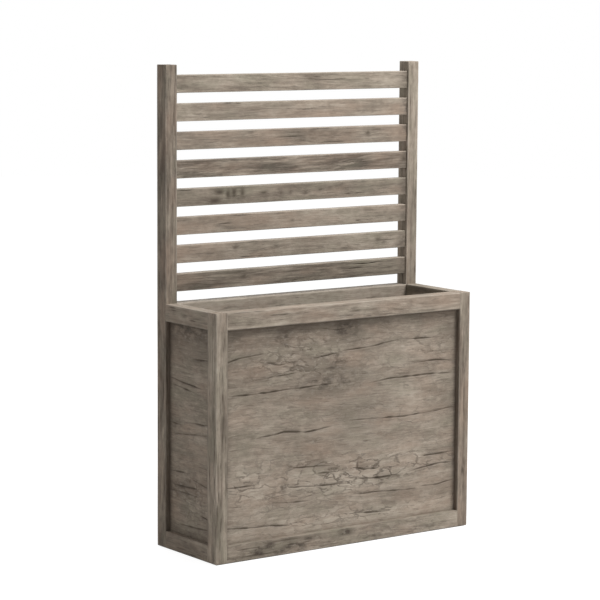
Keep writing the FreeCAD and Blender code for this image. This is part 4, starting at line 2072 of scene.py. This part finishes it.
@dataclass
class Studio:
    """Camera, lamps, floor and surroundings."""

    azimuth: float = 35.9765
    pitch: float = 7.3041
    roll: float = 0.3629
    distance: float = 6.93765
    focal_pixels: float = 2383.301
    frame_pixels: float = 600.0
    sensor: float = 36.0
    sight: float = 100.0
    target: tuple[float, float, float] = (-0.06107, 0.0, 0.70767)
    ambient: float = 0.46
    ambient_colour: Colour = (1.0, 0.985, 0.965)
    key_watts: float = 192.0
    key_way: tuple[float, float, float] = (0.42, -0.50, 0.95)
    fill_watts: float = 70.0
    fill_way: tuple[float, float, float] = (0.20, 1.00, 0.40)
    lamp_distance: float = 4.0
    lamp_size: float = 2.2
    floor_radius: float = 14.0
    floor_sides: int = 96
    floor_grey: float = 0.75
    floor_shade: float = 0.22
    floor_glow: float = 0.92
    footing: float = 0.006

    def build(self) -> None:
        """Sets up all of it."""
        self._camera()
        self._lamp("key", self.key_watts, self.key_way)
        self._lamp("fill", self.fill_watts, self.fill_way)
        self._world()
        self._floor()
        bpy.context.scene.view_settings.view_transform = "Standard"

    def _camera(self) -> None:
        """The camera at the photograph's viewing angle."""
        turn, tip, roll = (math.radians(v) for v in (self.azimuth, self.pitch, self.roll))
        ahead = Vector((math.sin(turn) * math.cos(tip), math.cos(turn) * math.cos(tip), -math.sin(tip)))
        right = Vector((math.cos(turn), -math.sin(turn), 0.0))
        up = right.cross(ahead)
        side = right * math.cos(roll) + up * math.sin(roll)
        top = up * math.cos(roll) - right * math.sin(roll)
        data = bpy.data.cameras.new("camera")
        data.sensor_width = self.sensor
        data.lens = self.focal_pixels * data.sensor_width / self.frame_pixels
        data.clip_end = self.sight
        camera = bpy.data.objects.new("camera", data)
        place = Matrix((side, top, -ahead)).transposed().to_4x4()
        place.translation = Vector(self.target) - ahead * self.distance
        camera.matrix_world = place
        bpy.context.scene.collection.objects.link(camera)
        bpy.context.scene.camera = camera

    def _lamp(self, name: str, watts: float, towards: tuple[float, float, float]) -> None:
        """A large soft lamp.

        Args:
            name: The lamp's name.
            watts: Its power.
            towards: The way from the object to the lamp.
        """
        data = bpy.data.lights.new(name, "AREA")
        data.energy = watts
        data.shape = "DISK"
        data.size = self.lamp_size
        lamp = bpy.data.objects.new(name, data)
        way = Vector(towards).normalized()
        lamp.location = Vector(self.target) + way * self.lamp_distance
        lamp.rotation_euler = way.to_track_quat("Z", "Y").to_euler()
        bpy.context.scene.collection.objects.link(lamp)

    @staticmethod
    def _seen(kit: NodeKit) -> Socket:
        """1 for rays from the camera, in mirrors and through glass.


        Returns:
            The share.
        """
        path = kit.add("ShaderNodeLightPath")
        first = kit.math("MAXIMUM", path.outputs["Is Camera Ray"], path.outputs["Is Glossy Ray"])
        return kit.math("MAXIMUM", first, path.outputs["Is Transmission Ray"])

    def _world(self) -> None:
        """White to the eye, and a plain soft light to everything else."""
        world = bpy.data.worlds.new("surroundings")
        bpy.context.scene.world = world
        kit = NodeKit.fresh(world)
        soft = kit.add("ShaderNodeBackground", Color=(*self.ambient_colour, 1), Strength=self.ambient)
        white = kit.add("ShaderNodeBackground", Color=(1, 1, 1, 1), Strength=1.0)
        mixed = kit.add("ShaderNodeMixShader", i0=self._seen(kit), i1=soft.outputs[0], i2=white.outputs[0])
        kit.add("ShaderNodeOutputWorld", Surface=mixed.outputs[0])

    def _glow_outside_painted_shadow(self, kit: NodeKit) -> Socket:
        """How brightly the floor glows at a point: not at all under the object, which leaves a painted
        shadow there.

        Args:
            kit: The floor material's kit.

        Returns:
            The strength of its glow.
        """
        low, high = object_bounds()
        place = kit.add("ShaderNodeSeparateXYZ", i0=kit.add("ShaderNodeTexCoord").outputs["Object"])
        far = []
        for axis in (Axis.X, Axis.Y):
            half = (high[axis.value] - low[axis.value]) / 2 - self.footing
            far.append(kit.math("GREATER_THAN", kit.math("ABSOLUTE", place.outputs[axis.value]), half))
        return kit.math("MULTIPLY", kit.math("MAXIMUM", *far), self.floor_glow)

    def _pale(self) -> bpy.types.Material:
        """The floor's material: plain to the light, pale and faintly shaded to the eye, with a painted
        shadow under the object.

        Returns:
            The material.
        """
        material = bpy.data.materials.new("pale_floor")
        kit = NodeKit.fresh(material)
        greys = [(grey, grey, grey, 1) for grey in (self.floor_grey, self.floor_shade)]
        plain, faint = (kit.add("ShaderNodeBsdfDiffuse", Color=grey) for grey in greys)
        glow = kit.add("ShaderNodeEmission", Color=(1, 1, 1, 1), Strength=self._glow_outside_painted_shadow(kit))
        pale = kit.add("ShaderNodeAddShader", i0=faint.outputs[0], i1=glow.outputs[0])
        mixed = kit.add("ShaderNodeMixShader", i0=self._seen(kit), i1=plain.outputs[0], i2=pale.outputs[0])
        kit.add("ShaderNodeOutputMaterial", Surface=mixed.outputs[0])
        return material

    def _floor(self) -> None:
        """A pale disc that keeps a faint shadow."""
        turns = np.linspace(0, 2 * math.pi, self.floor_sides, endpoint=False)
        ring = [(self.floor_radius * math.cos(t), self.floor_radius * math.sin(t), 0.0) for t in turns]
        mesh = bpy.data.meshes.new("pale_floor")
        mesh.from_pydata(ring, [], [tuple(range(len(ring)))])
        mesh.materials.append(self._pale())
        floor = bpy.data.objects.new("pale_floor", mesh)
        bpy.context.scene.collection.objects.link(floor)
        floor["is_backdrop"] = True


def main() -> None:
    """Builds the planter's looks and the studio around it."""
    logging.basicConfig(level=logging.INFO)
    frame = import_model()
    timber, speckled = TimberPaint(), SpeckledPaint()
    weathered, inside = timber.make(WEATHERED), timber.make(INSIDE)
    zinc, nylon = speckled.make(ZINC), speckled.make(NYLON)
    recesses = Recesses.measured()
    outer_boards = TroughFrame().boards() + Screen().boards()
    pieces = [board.build(weathered, WEATHERED.slot, recesses) for board in outer_boards]
    pieces += [board.build(inside, INSIDE.slot, recesses) for board in SlattedFloor().boards()]
    pieces += LevellingFeet().build(zinc, nylon, frame["nodes"])
    pieces.append(FloorScrews().build(zinc))
    for piece in pieces:
        LOG.info("%s: %d faces", piece.name, len(piece.data.polygons))
    Studio().build()


if __name__ == "__main__":
    main()
